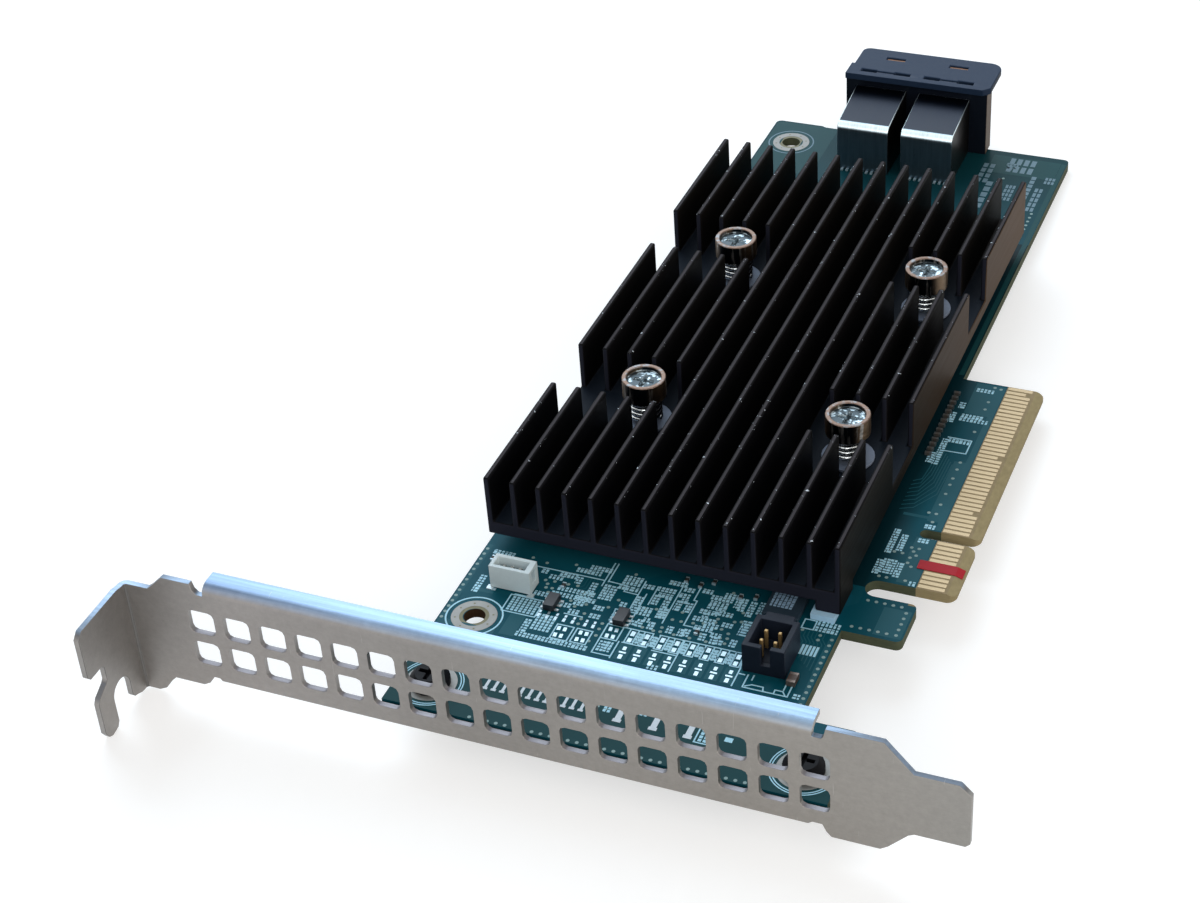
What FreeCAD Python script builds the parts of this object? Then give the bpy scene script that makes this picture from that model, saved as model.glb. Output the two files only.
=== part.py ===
import FreeCAD
import Part
import Sketcher
import math
import os

# A storage controller card: a low-profile plug-in board with a tall vented bracket at one end,
# a finned heatsink held by four sprung screws, and a two-port cable connector at the other end.
# The card lies flat. X runs across the board, from the bracket's screw tab to the gold contacts,
# Y runs along the board, away from the bracket, and Z points up from the board's component side.
# Sizes are measured from the bracket's outer face (Y), the inner ends of the gold contacts (X)
# and the board's component side (Z), in millimetres. Every piece is then placed so that the
# origin is the middle of the key slot at the contact edge, level with the component side.

doc = FreeCAD.newDocument("controller_card")
sheet = doc.addObject("Spreadsheet::Sheet", "dims")


class Size:
    """A number together with the text that names it in the sheet."""

    def __init__(self, value, text):
        self.value = float(value)
        self.text = text

    def __add__(self, other):
        other = as_size(other)
        return Size(self.value + other.value, "(%s + %s)" % (self.text, other.text))

    def __radd__(self, other):
        return as_size(other) + self

    def __sub__(self, other):
        other = as_size(other)
        return Size(self.value - other.value, "(%s - %s)" % (self.text, other.text))

    def __rsub__(self, other):
        return as_size(other) - self

    def __mul__(self, other):
        other = as_size(other)
        return Size(self.value * other.value, "(%s * %s)" % (self.text, other.text))

    def __rmul__(self, other):
        return as_size(other) * self

    def __truediv__(self, other):
        other = as_size(other)
        return Size(self.value / other.value, "(%s / %s)" % (self.text, other.text))

    def __neg__(self):
        return Size(-self.value, "(0 - %s)" % self.text)


def as_size(value):
    if isinstance(value, Size):
        return value
    return Size(value, repr(float(value)))


rows = []


def size(name, value, note=""):
    """Writes one driving dimension in the sheet and gives it back as a named number."""
    row = len(rows) + 1
    rows.append(name)
    sheet.set("A%d" % row, name)
    sheet.set("B%d" % row, str(value))
    sheet.setAlias("B%d" % row, name)
    if note:
        sheet.set("C%d" % row, note)
    return Size(value, "dims." + name)


# General values
gap = size("gap", 0.05, "clearance between pieces that fit into each other")

# The board
board_thick = size("board_thick", 1.57)
board_left = size("board_left", -61.9)
board_right = size("board_right", -7.3)
board_near = size("board_near", 1.6)
board_far = size("board_far", 167.65)
contact_edge = size("contact_edge", 5.6, "the edge that goes into the slot")
board_corner = size("board_corner", 1.0)
ear_side = size("ear_side", 1.2, "side of the ear behind the bracket and of the retention hook")
ear_end = size("ear_end", 15.6)
hook_start = size("hook_start", 34.1)
hook_end = size("hook_end", 42.4)
hook_slot_side = size("hook_slot_side", -6.9)
contacts_start = size("contacts_start", 45.9)
contacts_end = size("contacts_end", 97.0)
key_middle = size("key_middle", 58.0)
key_width = size("key_width", 1.9)
key_bottom = size("key_bottom", -3.0)
bevel_length = size("bevel_length", 1.3)
bevel_depth = size("bevel_depth", 0.45)
recess_start = size("recess_start", -53.3, "shallow recess in the far edge at the cable connector")
recess_full = size("recess_full", -50.6)
recess_stop = size("recess_stop", -24.0)
recess_depth = size("recess_depth", 1.2)
free_hole_radius = size("free_hole_radius", 1.6, "the two unused mounting holes")
hole_row = size("hole_row", -56.9, "the holes beside the left edge")
free_hole_near = size("free_hole_near", 21.1)
free_hole_far = size("free_hole_far", 160.4)

# Gold contacts
contact_width = size("contact_width", 0.7)
contact_pitch = size("contact_pitch", 1.0)
contact_length = size("contact_length", 3.85)
contact_short = size("contact_short", 3.0)
contact_thick = size("contact_thick", 0.05)
contact_offset = size("contact_offset", 1.5, "from the key slot's middle to the contacts beside it")
contacts_before_key = 11
contacts_after_key = 38
short_contacts = (17, 31, 48)
tape_thick = size("tape_thick", 0.1)
tape_near = size("tape_near", 50.1)
tape_width = size("tape_width", 1.9)
tape_inner = size("tape_inner", -1.25)
tape_outer = size("tape_outer", 5.4, "the tape reaches over the bevel")

# The bracket
sheet_thick = size("sheet_thick", 0.86)
tab_inner = size("tab_inner", -99.05, "inner face of the screw tab")
tongue_end = size("tongue_end", 20.1)
bracket_top = size("bracket_top", 14.5)
bracket_low = size("bracket_low", -3.9)
bracket_foot = size("bracket_foot", -7.0)
tongue_top = size("tongue_top", 10.25)
tongue_low = size("tongue_low", 0.05)
neck_top = size("neck_top", 11.9, "top edge beside the screw tab")
foot_ramp_start = size("foot_ramp_start", -97.0, "the low edge's ramp beside the tab")
low_left = size("low_left", -93.8, "the low edge's left stretch")
low_left_end = size("low_left_end", -89.2)
relief_left = size("relief_left", -87.3, "notches beside the bend of the feet")
relief_width = size("relief_width", 0.9)
relief_top = size("relief_top", -2.0)
relief_slope = size("relief_slope", 0.3)
relief_right = size("relief_right", 1.0)
low_right = size("low_right", 2.2, "the low edge's right stretch")
low_right_end = size("low_right_end", 8.6)
tongue_start = size("tongue_start", 13.0)
tongue_corner = size("tongue_corner", 0.6)
tongue_slant = size("tongue_slant", 1.5)
shoulder_low = size("shoulder_low", 12.8, "the slope from the tongue up to the top edge")
shoulder_high = size("shoulder_high", 9.0)
lip_gap = size("lip_gap", 0.9, "from the lip's ends to the top edge beside it")
top_left = size("top_left", -88.4, "the short top edge beside the tab")
top_left_end = size("top_left_end", -92.8)
neck_start = size("neck_start", -95.5)
tab_depth = size("tab_depth", 11.9, "how far the screw tab stands out in front of the face")
tab_top = size("tab_top", 12.2)
tab_corner = size("tab_corner", 1.0)
tab_shoulder = size("tab_shoulder", 2.0)
waist_depth = size("waist_depth", 8.1, "the tab is narrower between its ledge and its tip")
waist_high = size("waist_high", 3.4)
waist_low = size("waist_low", 1.2)
ledge_low = size("ledge_low", 3.9)
tip_depth = size("tip_depth", 11.0)
tip_start = size("tip_start", -1.2)
tip_end = size("tip_end", -7.9)
tip_corner = size("tip_corner", 1.4)
slot_outer_end = size("slot_outer_end", -6.8, "ends of the two prongs beside the open slot")
slot_inner_end = size("slot_inner_end", -5.6)
lip_start = size("lip_start", -86.6)
lip_stop = size("lip_stop", -0.3)
lip_top = size("lip_top", 14.4)
lip_back = size("lip_back", 3.5)
lip_radius = size("lip_radius", 1.6)
bend_inner = size("bend_inner", 0.4)
vent_size = size("vent_size", 4.0)
vent_corner = size("vent_corner", 0.8)
vent_first = size("vent_first", -87.55)
vent_pitch = size("vent_pitch", 5.476)
vent_upper = size("vent_upper", 7.8)
vent_lower = size("vent_lower", 2.24)
vent_count = 17
slot_middle = size("slot_middle", -5.55, "middle of the open screw slot in the tab")
slot_radius = size("slot_radius", 2.05)
slot_centre = size("slot_centre", -3.11)
foot_width = size("foot_width", 9.0, "the two feet under the board")
foot_depth = size("foot_depth", 12.0)
foot_left = size("foot_left", -56.9)
foot_right = size("foot_right", -5.0)

# Bracket screws
bracket_screw_y = size("bracket_screw_y", 6.6)
bracket_screw_right = size("bracket_screw_right", -3.6)
bracket_screw_radius = size("bracket_screw_radius", 1.5)
bracket_screw_head = size("bracket_screw_head", 2.8)
bracket_screw_head_high = size("bracket_screw_head_high", 1.9)
bracket_screw_edge = size("bracket_screw_edge", 1.05, "height of the head's straight side")
bracket_screw_taper = size("bracket_screw_taper", 42.0, "slope of the crown in degrees")
bracket_screw_length = size("bracket_screw_length", 3.2)

# The heatsink
sink_left = size("sink_left", -61.2)
sink_width = size("sink_width", 53.2)
sink_near = size("sink_near", 35.9)
sink_length = size("sink_length", 101.6)
sink_bottom = size("sink_bottom", 2.7)
sink_base = size("sink_base", 2.15)
sink_top = size("sink_top", 12.65)
fin_thick = size("fin_thick", 0.9)
fin_count = 14
cut_width = size("cut_width", 10.3)
cut_near = size("cut_near", 66.1, "middle of the cross cuts and of the screws")
cut_far = size("cut_far", 107.2)
cut_left_side = size("cut_left_side", -42.9)
cut_right_side = size("cut_right_side", -22.2)
screw_left = size("screw_left", -48.3)
screw_right = size("screw_right", -16.4)
foot_post_width = size("foot_post_width", 3.7)
foot_post_depth = size("foot_post_depth", 6.0)
foot_post_bottom = size("foot_post_bottom", 1.0)
foot_pad_out = size("foot_pad_out", 0.4, "how far the pad shows beside the foot")
foot_pad_back = size("foot_pad_back", 0.6)

# Sprung screws, springs, washers and the nuts under the board
spring_screw_radius = size("spring_screw_radius", 1.5)
spring_screw_head = size("spring_screw_head", 3.35)
spring_screw_head_low = size("spring_screw_head_low", 9.5)
spring_screw_head_top = size("spring_screw_head_top", 12.75)
cup_radius = size("cup_radius", 2.65)
cup_depth = size("cup_depth", 0.7)
cross_length = size("cross_length", 3.0)
cross_width = size("cross_width", 0.6)
cross_depth = size("cross_depth", 0.8)
washer_radius = size("washer_radius", 3.95)
washer_thick = size("washer_thick", 0.45)
spring_radius = size("spring_radius", 2.3, "middle of the wire")
spring_wire = size("spring_wire", 0.3, "wire radius")
spring_turns = 3.5
spring_steps = 10
nut_radius = size("nut_radius", 3.0, "from the middle to a corner of the six-sided nut")
nut_high = size("nut_high", 1.5)
nut_collar = size("nut_collar", 2.1)

# The controller under the heatsink
chip_side = size("chip_side", 31.0)
chip_high = size("chip_high", 1.4)
lid_side = size("lid_side", 22.0)
lid_high = size("lid_high", 1.0)
chip_x = size("chip_x", -32.35)
chip_y = size("chip_y", 86.65)

# The cable connector
ports_left = size("ports_left", -48.05)
ports_right = size("ports_right", -22.1)
ports_front = size("ports_front", 164.9, "edge of the hood that faces the heatsink")
ports_wall = size("ports_wall", 165.6, "front of the upright wall under the hood")
ports_face = size("ports_face", 169.0, "back of the wall, past the board's end")
hood_left = size("hood_left", -47.5)
hood_right = size("hood_right", -21.6)
hood_end = size("hood_end", 175.2)
hood_top = size("hood_top", 13.2)
hood_low = size("hood_low", 12.0)
hood_chamfer = size("hood_chamfer", 1.2, "the two corners beside the wall")
hood_round = size("hood_round", 1.4)
hood_wide_round = size("hood_wide_round", 2.3)
latch_slot_start = size("latch_slot_start", -4.15, "from a port's middle")
latch_slot_stop = size("latch_slot_stop", 4.9)
latch_slot_middle = size("latch_slot_middle", 166.8)
latch_slot_wide = size("latch_slot_wide", 1.0)
latch_slot_narrow = size("latch_slot_narrow", 0.4)
latch_slot_end = size("latch_slot_end", 2.9, "length of each wide end")
window_start = size("window_start", -0.9, "from a port's middle")
window_stop = size("window_stop", 2.5)
window_near = size("window_near", 171.6)
window_wide = size("window_wide", 0.9)
tongue_plate = size("tongue_plate", 0.3, "gold plate seen in each window")
cage_front = size("cage_front", 153.9)
cage_left_start = size("cage_left_start", -46.1)
cage_right_start = size("cage_right_start", -34.5)
cage_width = size("cage_width", 9.3)
cage_low = size("cage_low", 9.2, "height of the bend at the front")
cage_high = size("cage_high", 10.7, "height where the cover meets the housing")
cage_thick = size("cage_thick", 0.4)
cage_bend = size("cage_bend", 1.5)
nose_width = size("nose_width", 7.6)
nose_low = size("nose_low", 3.2)
nose_high = size("nose_high", 8.6)
nose_end = size("nose_end", 173.4)
nose_wall = size("nose_wall", 0.6)
mouth_depth = size("mouth_depth", 4.0)
mouth_low = size("mouth_low", 0.7)
mouth_high = size("mouth_high", 1.4)
mouth_pitch = size("mouth_pitch", 2.6, "from the lower mouth to the upper one")
nose_contact_count = 9
nose_contact_wide = size("nose_contact_wide", 0.3)
nose_contact_thick = size("nose_contact_thick", 0.15)
nose_contact_long = size("nose_contact_long", 3.4)
tail_pitch = size("tail_pitch", 0.9)
tail_wide = size("tail_wide", 0.4)
tail_long = size("tail_long", 0.7)
tail_thick = size("tail_thick", 0.25)

# Small connectors
socket_left = size("socket_left", -57.4)
socket_width = size("socket_width", 6.3)
socket_near = size("socket_near", 27.6)
socket_depth = size("socket_depth", 2.95)
socket_high = size("socket_high", 4.0)
socket_wall = size("socket_wall", 0.55)
header_left = size("header_left", -17.5)
header_width = size("header_width", 6.1)
header_near = size("header_near", 22.1)
header_depth = size("header_depth", 6.7)
header_high = size("header_high", 4.7)
header_wall = size("header_wall", 0.8)
header_floor = size("header_floor", 1.2)
header_slot = size("header_slot", 1.3)
header_pitch = size("header_pitch", 2.0)
header_pin = size("header_pin", 0.5)
header_pin_top = size("header_pin_top", 4.2)
pin_below = size("pin_below", 0.9, "how far soldered pins reach below the board")
socket_lift = size("socket_lift", 0.15, "the socket stands on its feet")
socket_pitch = size("socket_pitch", 1.25)
socket_pin = size("socket_pin", 0.4)
socket_pin_high = size("socket_pin_high", 2.4)
socket_lug = size("socket_lug", 0.9)
socket_lug_out = size("socket_lug_out", 0.5)

# Packages and small parts on both sides of the board
memory_width = size("memory_width", 9.0)
memory_length = size("memory_length", 13.0)
memory_high = size("memory_high", 1.1)
memory_pitch = size("memory_pitch", 10.5)
memory_row = size("memory_row", 123.5)
firmware_x = size("firmware_x", -30.0)
firmware_y = size("firmware_y", 50.0)
firmware_width = size("firmware_width", 8.0)
firmware_length = size("firmware_length", 10.0)
firmware_high = size("firmware_high", 1.0)
clock_width = size("clock_width", 5.2)
clock_length = size("clock_length", 5.0)
clock_high = size("clock_high", 0.9)
clock_space = size("clock_space", 1.3, "from the heatsink's foot to the chip")
inductor_row = size("inductor_row", 46.0)
inductor_side = size("inductor_side", 5.2)
inductor_high = size("inductor_high", 2.0)
switch_row = size("switch_row", 53.5)
switch_side = size("switch_side", 5.0)
switch_high = size("switch_high", 0.9)
regulator_start = size("regulator_start", -54.0)
regulator_pitch = size("regulator_pitch", 8.0)
logic_row = size("logic_row", 26.75)
logic_left = size("logic_left", -47.5)
logic_right = size("logic_right", -36.9)
logic_width = size("logic_width", 1.6)
logic_length = size("logic_length", 2.9)
logic_high = size("logic_high", 1.1)
leg_pitch = size("leg_pitch", 0.95)
leg_width = size("leg_width", 0.4)
leg_reach = size("leg_reach", 0.65)
leg_thick = size("leg_thick", 0.2)
coupling_start = size("coupling_start", 76.4)
coupling_pitch = size("coupling_pitch", 1.25)
coupling_long = size("coupling_long", 1.0)
coupling_wide = size("coupling_wide", 0.5)
coupling_space = size("coupling_space", 0.4, "from the heatsink's side to the row")
filter_width = size("filter_width", 1.25)
filter_length = size("filter_length", 2.0)
filter_high = size("filter_high", 0.85)
filter_space = size("filter_space", 0.47, "from the header to the capacitor")
passive_width = size("passive_width", 0.5)
passive_length = size("passive_length", 1.0)
passive_high = size("passive_high", 0.35)
decoupling_pitch = size("decoupling_pitch", 4.0)
decoupling_long = size("decoupling_long", 1.6)
decoupling_wide = size("decoupling_wide", 0.8)
decoupling_high = size("decoupling_high", 0.6)

doc.recompute()


def bind(obj, path, value):
    """Sets a property from a named size, and keeps it bound to the sheet."""
    obj.setExpression(path, as_size(value).text)


def datum_place(obj, label):
    """Names a finished piece and moves it from the measuring corner to the part's origin."""
    obj.Label = label
    obj.Placement = FreeCAD.Placement(
        FreeCAD.Vector(-contact_edge.value, -key_middle.value, 0), FreeCAD.Rotation()
    )
    bind(obj, "Placement.Base.x", -contact_edge)
    bind(obj, "Placement.Base.y", -key_middle)
    return obj


def new_body(name):
    return doc.addObject("PartDesign::Body", name)


def new_sketch(body, name, role, offset=None):
    """A sketch on one of the body's own planes, moved along the plane's normal."""
    plane = [item for item in body.Origin.OriginFeatures if item.Role == role][0]
    sketch = body.newObject("Sketcher::SketchObject", name)
    sketch.AttachmentSupport = [(plane, "")]
    sketch.MapMode = "FlatFace"
    if offset is not None:
        bind(sketch, "AttachmentOffset.Base.z", offset)
    return sketch


def between(start, end, shares):
    """Points part of the way from one corner to another, as shares across and up."""
    points = []
    for across, up in shares:
        points.append((
            start[0] + (end[0] - start[0]) * across,
            start[1] + (end[1] - start[1]) * up,
        ))
    return points


def pin_point(sketch, geometry, point, x, y):
    """Holds one end of a line or an arc at a named place."""
    for kind, value in (("DistanceX", as_size(x)), ("DistanceY", as_size(y))):
        index = sketch.addConstraint(
            Sketcher.Constraint(kind, -1, 1, geometry, point, value.value)
        )
        sketch.setExpression("Constraints[%d]" % index, value.text)


def add_loop(sketch, points):
    """Draws a closed loop. A point is (x, y), or (x, y, r) where an arc of radius r leads on
    from it: a positive r turns left and a negative r turns right."""
    count = len(points)
    indices = []
    for number, point in enumerate(points):
        following = points[(number + 1) % count]
        start = FreeCAD.Vector(as_size(point[0]).value, as_size(point[1]).value, 0)
        end = FreeCAD.Vector(as_size(following[0]).value, as_size(following[1]).value, 0)
        if len(point) == 2:
            indices.append((sketch.addGeometry(Part.LineSegment(start, end), False), 1, 2))
            continue
        radius = as_size(point[2])
        chord = end - start
        half = chord.Length / 2
        rise = math.sqrt(max(radius.value ** 2 - half ** 2, 0.0))
        side = 1 if radius.value > 0 else -1
        normal = FreeCAD.Vector(-chord.y, chord.x, 0).normalize() * (rise * side)
        centre = (start + end) * 0.5 + normal
        first = math.atan2(start.y - centre.y, start.x - centre.x)
        last = math.atan2(end.y - centre.y, end.x - centre.x)
        circle = Part.Circle(centre, FreeCAD.Vector(0, 0, 1), abs(radius.value))
        if side > 0:
            arc = Part.ArcOfCircle(circle, first, last)
            ends = (1, 2)
        else:
            arc = Part.ArcOfCircle(circle, last, first)
            ends = (2, 1)
        index = sketch.addGeometry(arc, False)
        indices.append((index,) + ends)
        if rise < 0.001:
            # A half circle: its middle is held instead of its radius.
            kind, held_at = ("DistanceX", point[0]) if abs(chord.x) < 0.001 else (
                "DistanceY", point[1]
            )
            held_at = as_size(held_at)
            held = sketch.addConstraint(
                Sketcher.Constraint(kind, -1, 1, index, 3, held_at.value)
            )
            sketch.setExpression("Constraints[%d]" % held, held_at.text)
            continue
        held = sketch.addConstraint(Sketcher.Constraint("Radius", index, abs(radius.value)))
        text = radius.text if side > 0 else (-radius).text
        sketch.setExpression("Constraints[%d]" % held, text)
    for number in range(count):
        here = indices[number]
        after = indices[(number + 1) % count]
        sketch.addConstraint(
            Sketcher.Constraint("Coincident", here[0], here[2], after[0], after[1])
        )
    for number, point in enumerate(points):
        pin_point(sketch, indices[number][0], indices[number][1], point[0], point[1])


def round_points(x, y, radius, sides, first=0, last=360):
    """Points on a round about a middle, from one angle to another in degrees. A round that is
    repeated many times has few sides, so that the mesh stays light."""
    whole = last - first == 360
    points = []
    for number in range(sides if whole else sides + 1):
        angle = math.radians(first + (last - first) * number / sides)
        points.append((
            x + radius * round(math.cos(angle), 6),
            y + radius * round(math.sin(angle), 6),
        ))
    return points


def soft_box_points(left, low, right, high, radius, steps):
    """A box whose corners are each rounded by a few short flats."""
    points = []
    corners = ((right, high, -1, -1), (left, high, 1, -1), (left, low, 1, 1), (right, low, -1, 1))
    for number, (x, y, inward_x, inward_y) in enumerate(corners):
        middle_x = x + radius * inward_x
        middle_y = y + radius * inward_y
        start = 90 * number
        points += round_points(middle_x, middle_y, radius, steps, start, start + 90)
    return points


def add_circle(sketch, x, y, radius):
    """Draws a circle at a named place with a named radius."""
    x, y, radius = as_size(x), as_size(y), as_size(radius)
    centre = FreeCAD.Vector(x.value, y.value, 0)
    index = sketch.addGeometry(Part.Circle(centre, FreeCAD.Vector(0, 0, 1), radius.value), False)
    pin_point(sketch, index, 3, x, y)
    held = sketch.addConstraint(Sketcher.Constraint("Radius", index, radius.value))
    sketch.setExpression("Constraints[%d]" % held, radius.text)


def pad(body, sketch, name, length, reverse=False):
    feature = body.newObject("PartDesign::Pad", name)
    feature.Profile = sketch
    feature.Reversed = reverse
    bind(feature, "Length", length)
    return feature


def pocket_through(body, sketch, name):
    """Cuts a sketch through everything, on both sides of its plane."""
    feature = body.newObject("PartDesign::Pocket", name)
    feature.Profile = sketch
    feature.Type = "ThroughAll"
    feature.Midplane = True
    return feature


def pocket_depth(body, sketch, name, depth, reverse=False):
    feature = body.newObject("PartDesign::Pocket", name)
    feature.Profile = sketch
    feature.Reversed = reverse
    bind(feature, "Length", depth)
    return feature


def repeat(body, feature, sketch, name, pitch, count):
    """Repeats a feature along the sketch's horizontal axis."""
    pattern = body.newObject("PartDesign::LinearPattern", name)
    pattern.Originals = [feature]
    pattern.Direction = (sketch, ["H_Axis"])
    bind(pattern, "Length", pitch * (count - 1))
    pattern.Occurrences = count
    body.Tip = pattern
    return pattern


def block(name, x0, x1, y0, y1, z0, z1):
    """A plain box between named limits."""
    box = doc.addObject("Part::Box", name)
    bind(box, "Length", x1 - x0)
    bind(box, "Width", y1 - y0)
    bind(box, "Height", z1 - z0)
    bind(box, "Placement.Base.x", x0)
    bind(box, "Placement.Base.y", y0)
    bind(box, "Placement.Base.z", z0)
    return box


def round_bar(name, radius, low, high, sides):
    """An upright bar whose round is made of flats, one corner towards X."""
    bar = doc.addObject("Part::Prism", name)
    bar.Polygon = sides
    bind(bar, "Circumradius", radius)
    bind(bar, "Height", high - low)
    bind(bar, "Placement.Base.z", low)
    return bar


def fuse(name, parts):
    result = doc.addObject("Part::MultiFuse", name)
    result.Shapes = parts
    result.Refine = True
    return result


def cut(name, base, tool):
    result = doc.addObject("Part::Cut", name)
    result.Base = base
    result.Tool = tool
    return result


def collect(name, parts):
    result = doc.addObject("Part::Compound", name)
    result.Links = parts
    return result


def corner_edges(shape, places):
    """Names of the upright edges that stand at the given places."""
    names = []
    for number, edge in enumerate(shape.Edges, 1):
        box = edge.BoundBox
        if box.XLength > 0.001 or box.YLength > 0.001:
            continue
        for x, y in places:
            if abs(box.XMin - x) < 0.01 and abs(box.YMin - y) < 0.01:
                names.append("Edge%d" % number)
    return names


def box_at(x, y, width, depth, low, high):
    """A box about a middle, from named sizes."""
    x, y, width, depth, low, high = [as_size(item).value for item in (x, y, width, depth, low, high)]
    corner = FreeCAD.Vector(x - width / 2, y - depth / 2, low)
    return Part.makeBox(width, depth, high - low, corner)


def copy_to(master, places):
    """Copies of a finished piece, moved to each place."""
    solids = []
    for x, y in places:
        shape = master.Shape.copy()
        shape.translate(FreeCAD.Vector(as_size(x).value, as_size(y).value, 0))
        solids.append(shape)
    return solids


def punched(name, plate, punches):
    """Cuts punches out of a plate: each is a bar and the places that it goes to."""
    doc.recompute()
    tool = doc.addObject("Part::Feature", name + "Punches")
    tool.Shape = Part.makeCompound([
        solid for bar, places in punches for solid in copy_to(bar, places)
    ])
    return cut(name, plate, tool)


def group(name, label, solids):
    """Puts equal small pieces, each a separate solid, into one node."""
    feature = doc.addObject("Part::Feature", name)
    feature.Shape = Part.makeCompound(solids)
    return datum_place(feature, label)


# The circuit board
board = new_body("Board")
outline = new_sketch(board, "BoardOutline", "XY_Plane", -board_thick)
key_low = key_middle - key_width / 2
key_high = key_middle + key_width / 2
key_round = key_width / 2
slot_round = (contacts_start - hook_end) / 2
add_loop(outline, [
    (board_left, board_near),
    (ear_side, board_near),
    (ear_side, ear_end),
    (board_right, ear_end),
    (board_right, hook_start),
    (ear_side, hook_start),
    (ear_side, hook_end),
    (hook_slot_side + slot_round, hook_end, -slot_round),
    (hook_slot_side + slot_round, contacts_start),
    (contact_edge, contacts_start),
    (contact_edge, key_low),
    (key_bottom + key_round, key_low, -key_round),
    (key_bottom + key_round, key_high),
    (contact_edge, key_high),
    (contact_edge, contacts_end),
    (board_right, contacts_end),
    (board_right, board_far),
    (recess_stop, board_far),
    (recess_stop, board_far - recess_depth),
    (recess_full, board_far - recess_depth),
    (recess_start, board_far),
    (board_left, board_far),
])
board_pad = pad(board, outline, "BoardPad", board_thick)
doc.recompute()
rounding = board.newObject("PartDesign::Fillet", "BoardCorners")
rounding.Base = (board_pad, corner_edges(
    board_pad.Shape,
    [
        (board_left.value, board_far.value),
        (board_right.value, board_far.value),
        (ear_side.value, ear_end.value),
        (ear_side.value, hook_start.value),
        (ear_side.value, hook_end.value),
        (contact_edge.value, contacts_start.value),
        (contact_edge.value, key_low.value),
        (contact_edge.value, key_high.value),
        (contact_edge.value, contacts_end.value),
    ],
))
bind(rounding, "Radius", board_corner)
board.Tip = rounding

# The contact edge is bevelled on both faces.
bevel = new_sketch(board, "BevelProfile", "XZ_Plane")
add_loop(bevel, [
    (contact_edge - bevel_length, 0),
    (contact_edge + 1, -bevel_depth * (bevel_length + 1) / bevel_length),
    (contact_edge + 1, 1),
    (contact_edge - bevel_length, 1),
])
add_loop(bevel, [
    (contact_edge - bevel_length, -board_thick),
    (contact_edge - bevel_length, -board_thick - 1),
    (contact_edge + 1, -board_thick - 1),
    (contact_edge + 1, -board_thick + bevel_depth * (bevel_length + 1) / bevel_length),
])
pocket_through(board, bevel, "ContactBevel")

# Holes for the bracket screws, the sprung screws' nuts, and two that stay free.
holes = new_sketch(board, "FreeHoles", "XY_Plane")
for hole_y in (free_hole_near, free_hole_far):
    add_circle(holes, hole_row, hole_y, free_hole_radius)
pocket_through(board, holes, "FreeHolesCut")
header_x = header_left + header_width / 2
header_y = header_near + header_depth / 2
pin_spots = [
    (header_x + header_pitch / 2 * side_x, header_y + header_pitch / 2 * side_y)
    for side_x in (-1, 1)
    for side_y in (-1, 1)
]
bracket_places = [(hole_row, bracket_screw_y), (bracket_screw_right, bracket_screw_y)]
screw_places = [(x, y) for x in (screw_left, screw_right) for y in (cut_near, cut_far)]
nut_sides = 12
punch_low = -board_thick - 1
punch_top = as_size(1)
circuit_board = punched("CircuitBoard", board, [
    (round_bar("ScrewPunch", bracket_screw_radius + 3 * gap, punch_low, punch_top, 16), bracket_places),
    (round_bar("NutPunch", nut_collar + gap, punch_low, punch_top, nut_sides), screw_places),
    (round_bar("PinPunch", header_pin * 0.75 + gap, punch_low, punch_top, 8), pin_spots),
])
datum_place(circuit_board, "circuit_board")

# Gold contacts on both faces: the component side is numbered from the bracket end.
contact_rows = []
for number in range(1, contacts_before_key + contacts_after_key + 1):
    if number <= contacts_before_key:
        middle = key_middle.value - contact_offset.value
        middle -= contact_pitch.value * (contacts_before_key - number)
    else:
        middle = key_middle.value + contact_offset.value
        middle += contact_pitch.value * (number - contacts_before_key - 1)
    contact_rows.append((number, middle))


def contact_strip(low, shorts):
    """The contacts of one face; the ones whose numbers are in shorts are cut back."""
    solids = []
    for number, middle in contact_rows:
        length = contact_short if number in shorts else contact_length
        solids.append(box_at(length / 2, middle, length, contact_width, low, low + contact_thick))
    return solids


group("UpperContacts", "edge_contacts_upper", contact_strip(as_size(0), short_contacts))
group("LowerContacts", "edge_contacts_lower", contact_strip(-board_thick - contact_thick, (1,)))

# A strip of red insulating tape lies over two of the contacts and down the bevel.
tape_body = new_body("ContactTape")
tape_sketch = new_sketch(tape_body, "TapeProfile", "XZ_Plane", -tape_near)
bevel_start = contact_edge - bevel_length
tape_end_low = (bevel_start - tape_outer) * (bevel_depth / bevel_length) + gap / 2
add_loop(tape_sketch, [
    (tape_inner, contact_thick),
    (contact_length + gap, contact_thick),
    (bevel_start + gap, gap / 2),
    (tape_outer, tape_end_low),
    (tape_outer, tape_end_low + tape_thick),
    (bevel_start + gap, gap / 2 + tape_thick),
    (contact_length + 2 * gap, contact_thick + tape_thick),
    (tape_inner, contact_thick + tape_thick),
])
pad(tape_body, tape_sketch, "TapePad", tape_width, reverse=True)
datum_place(tape_body, "contact_tape")

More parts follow.
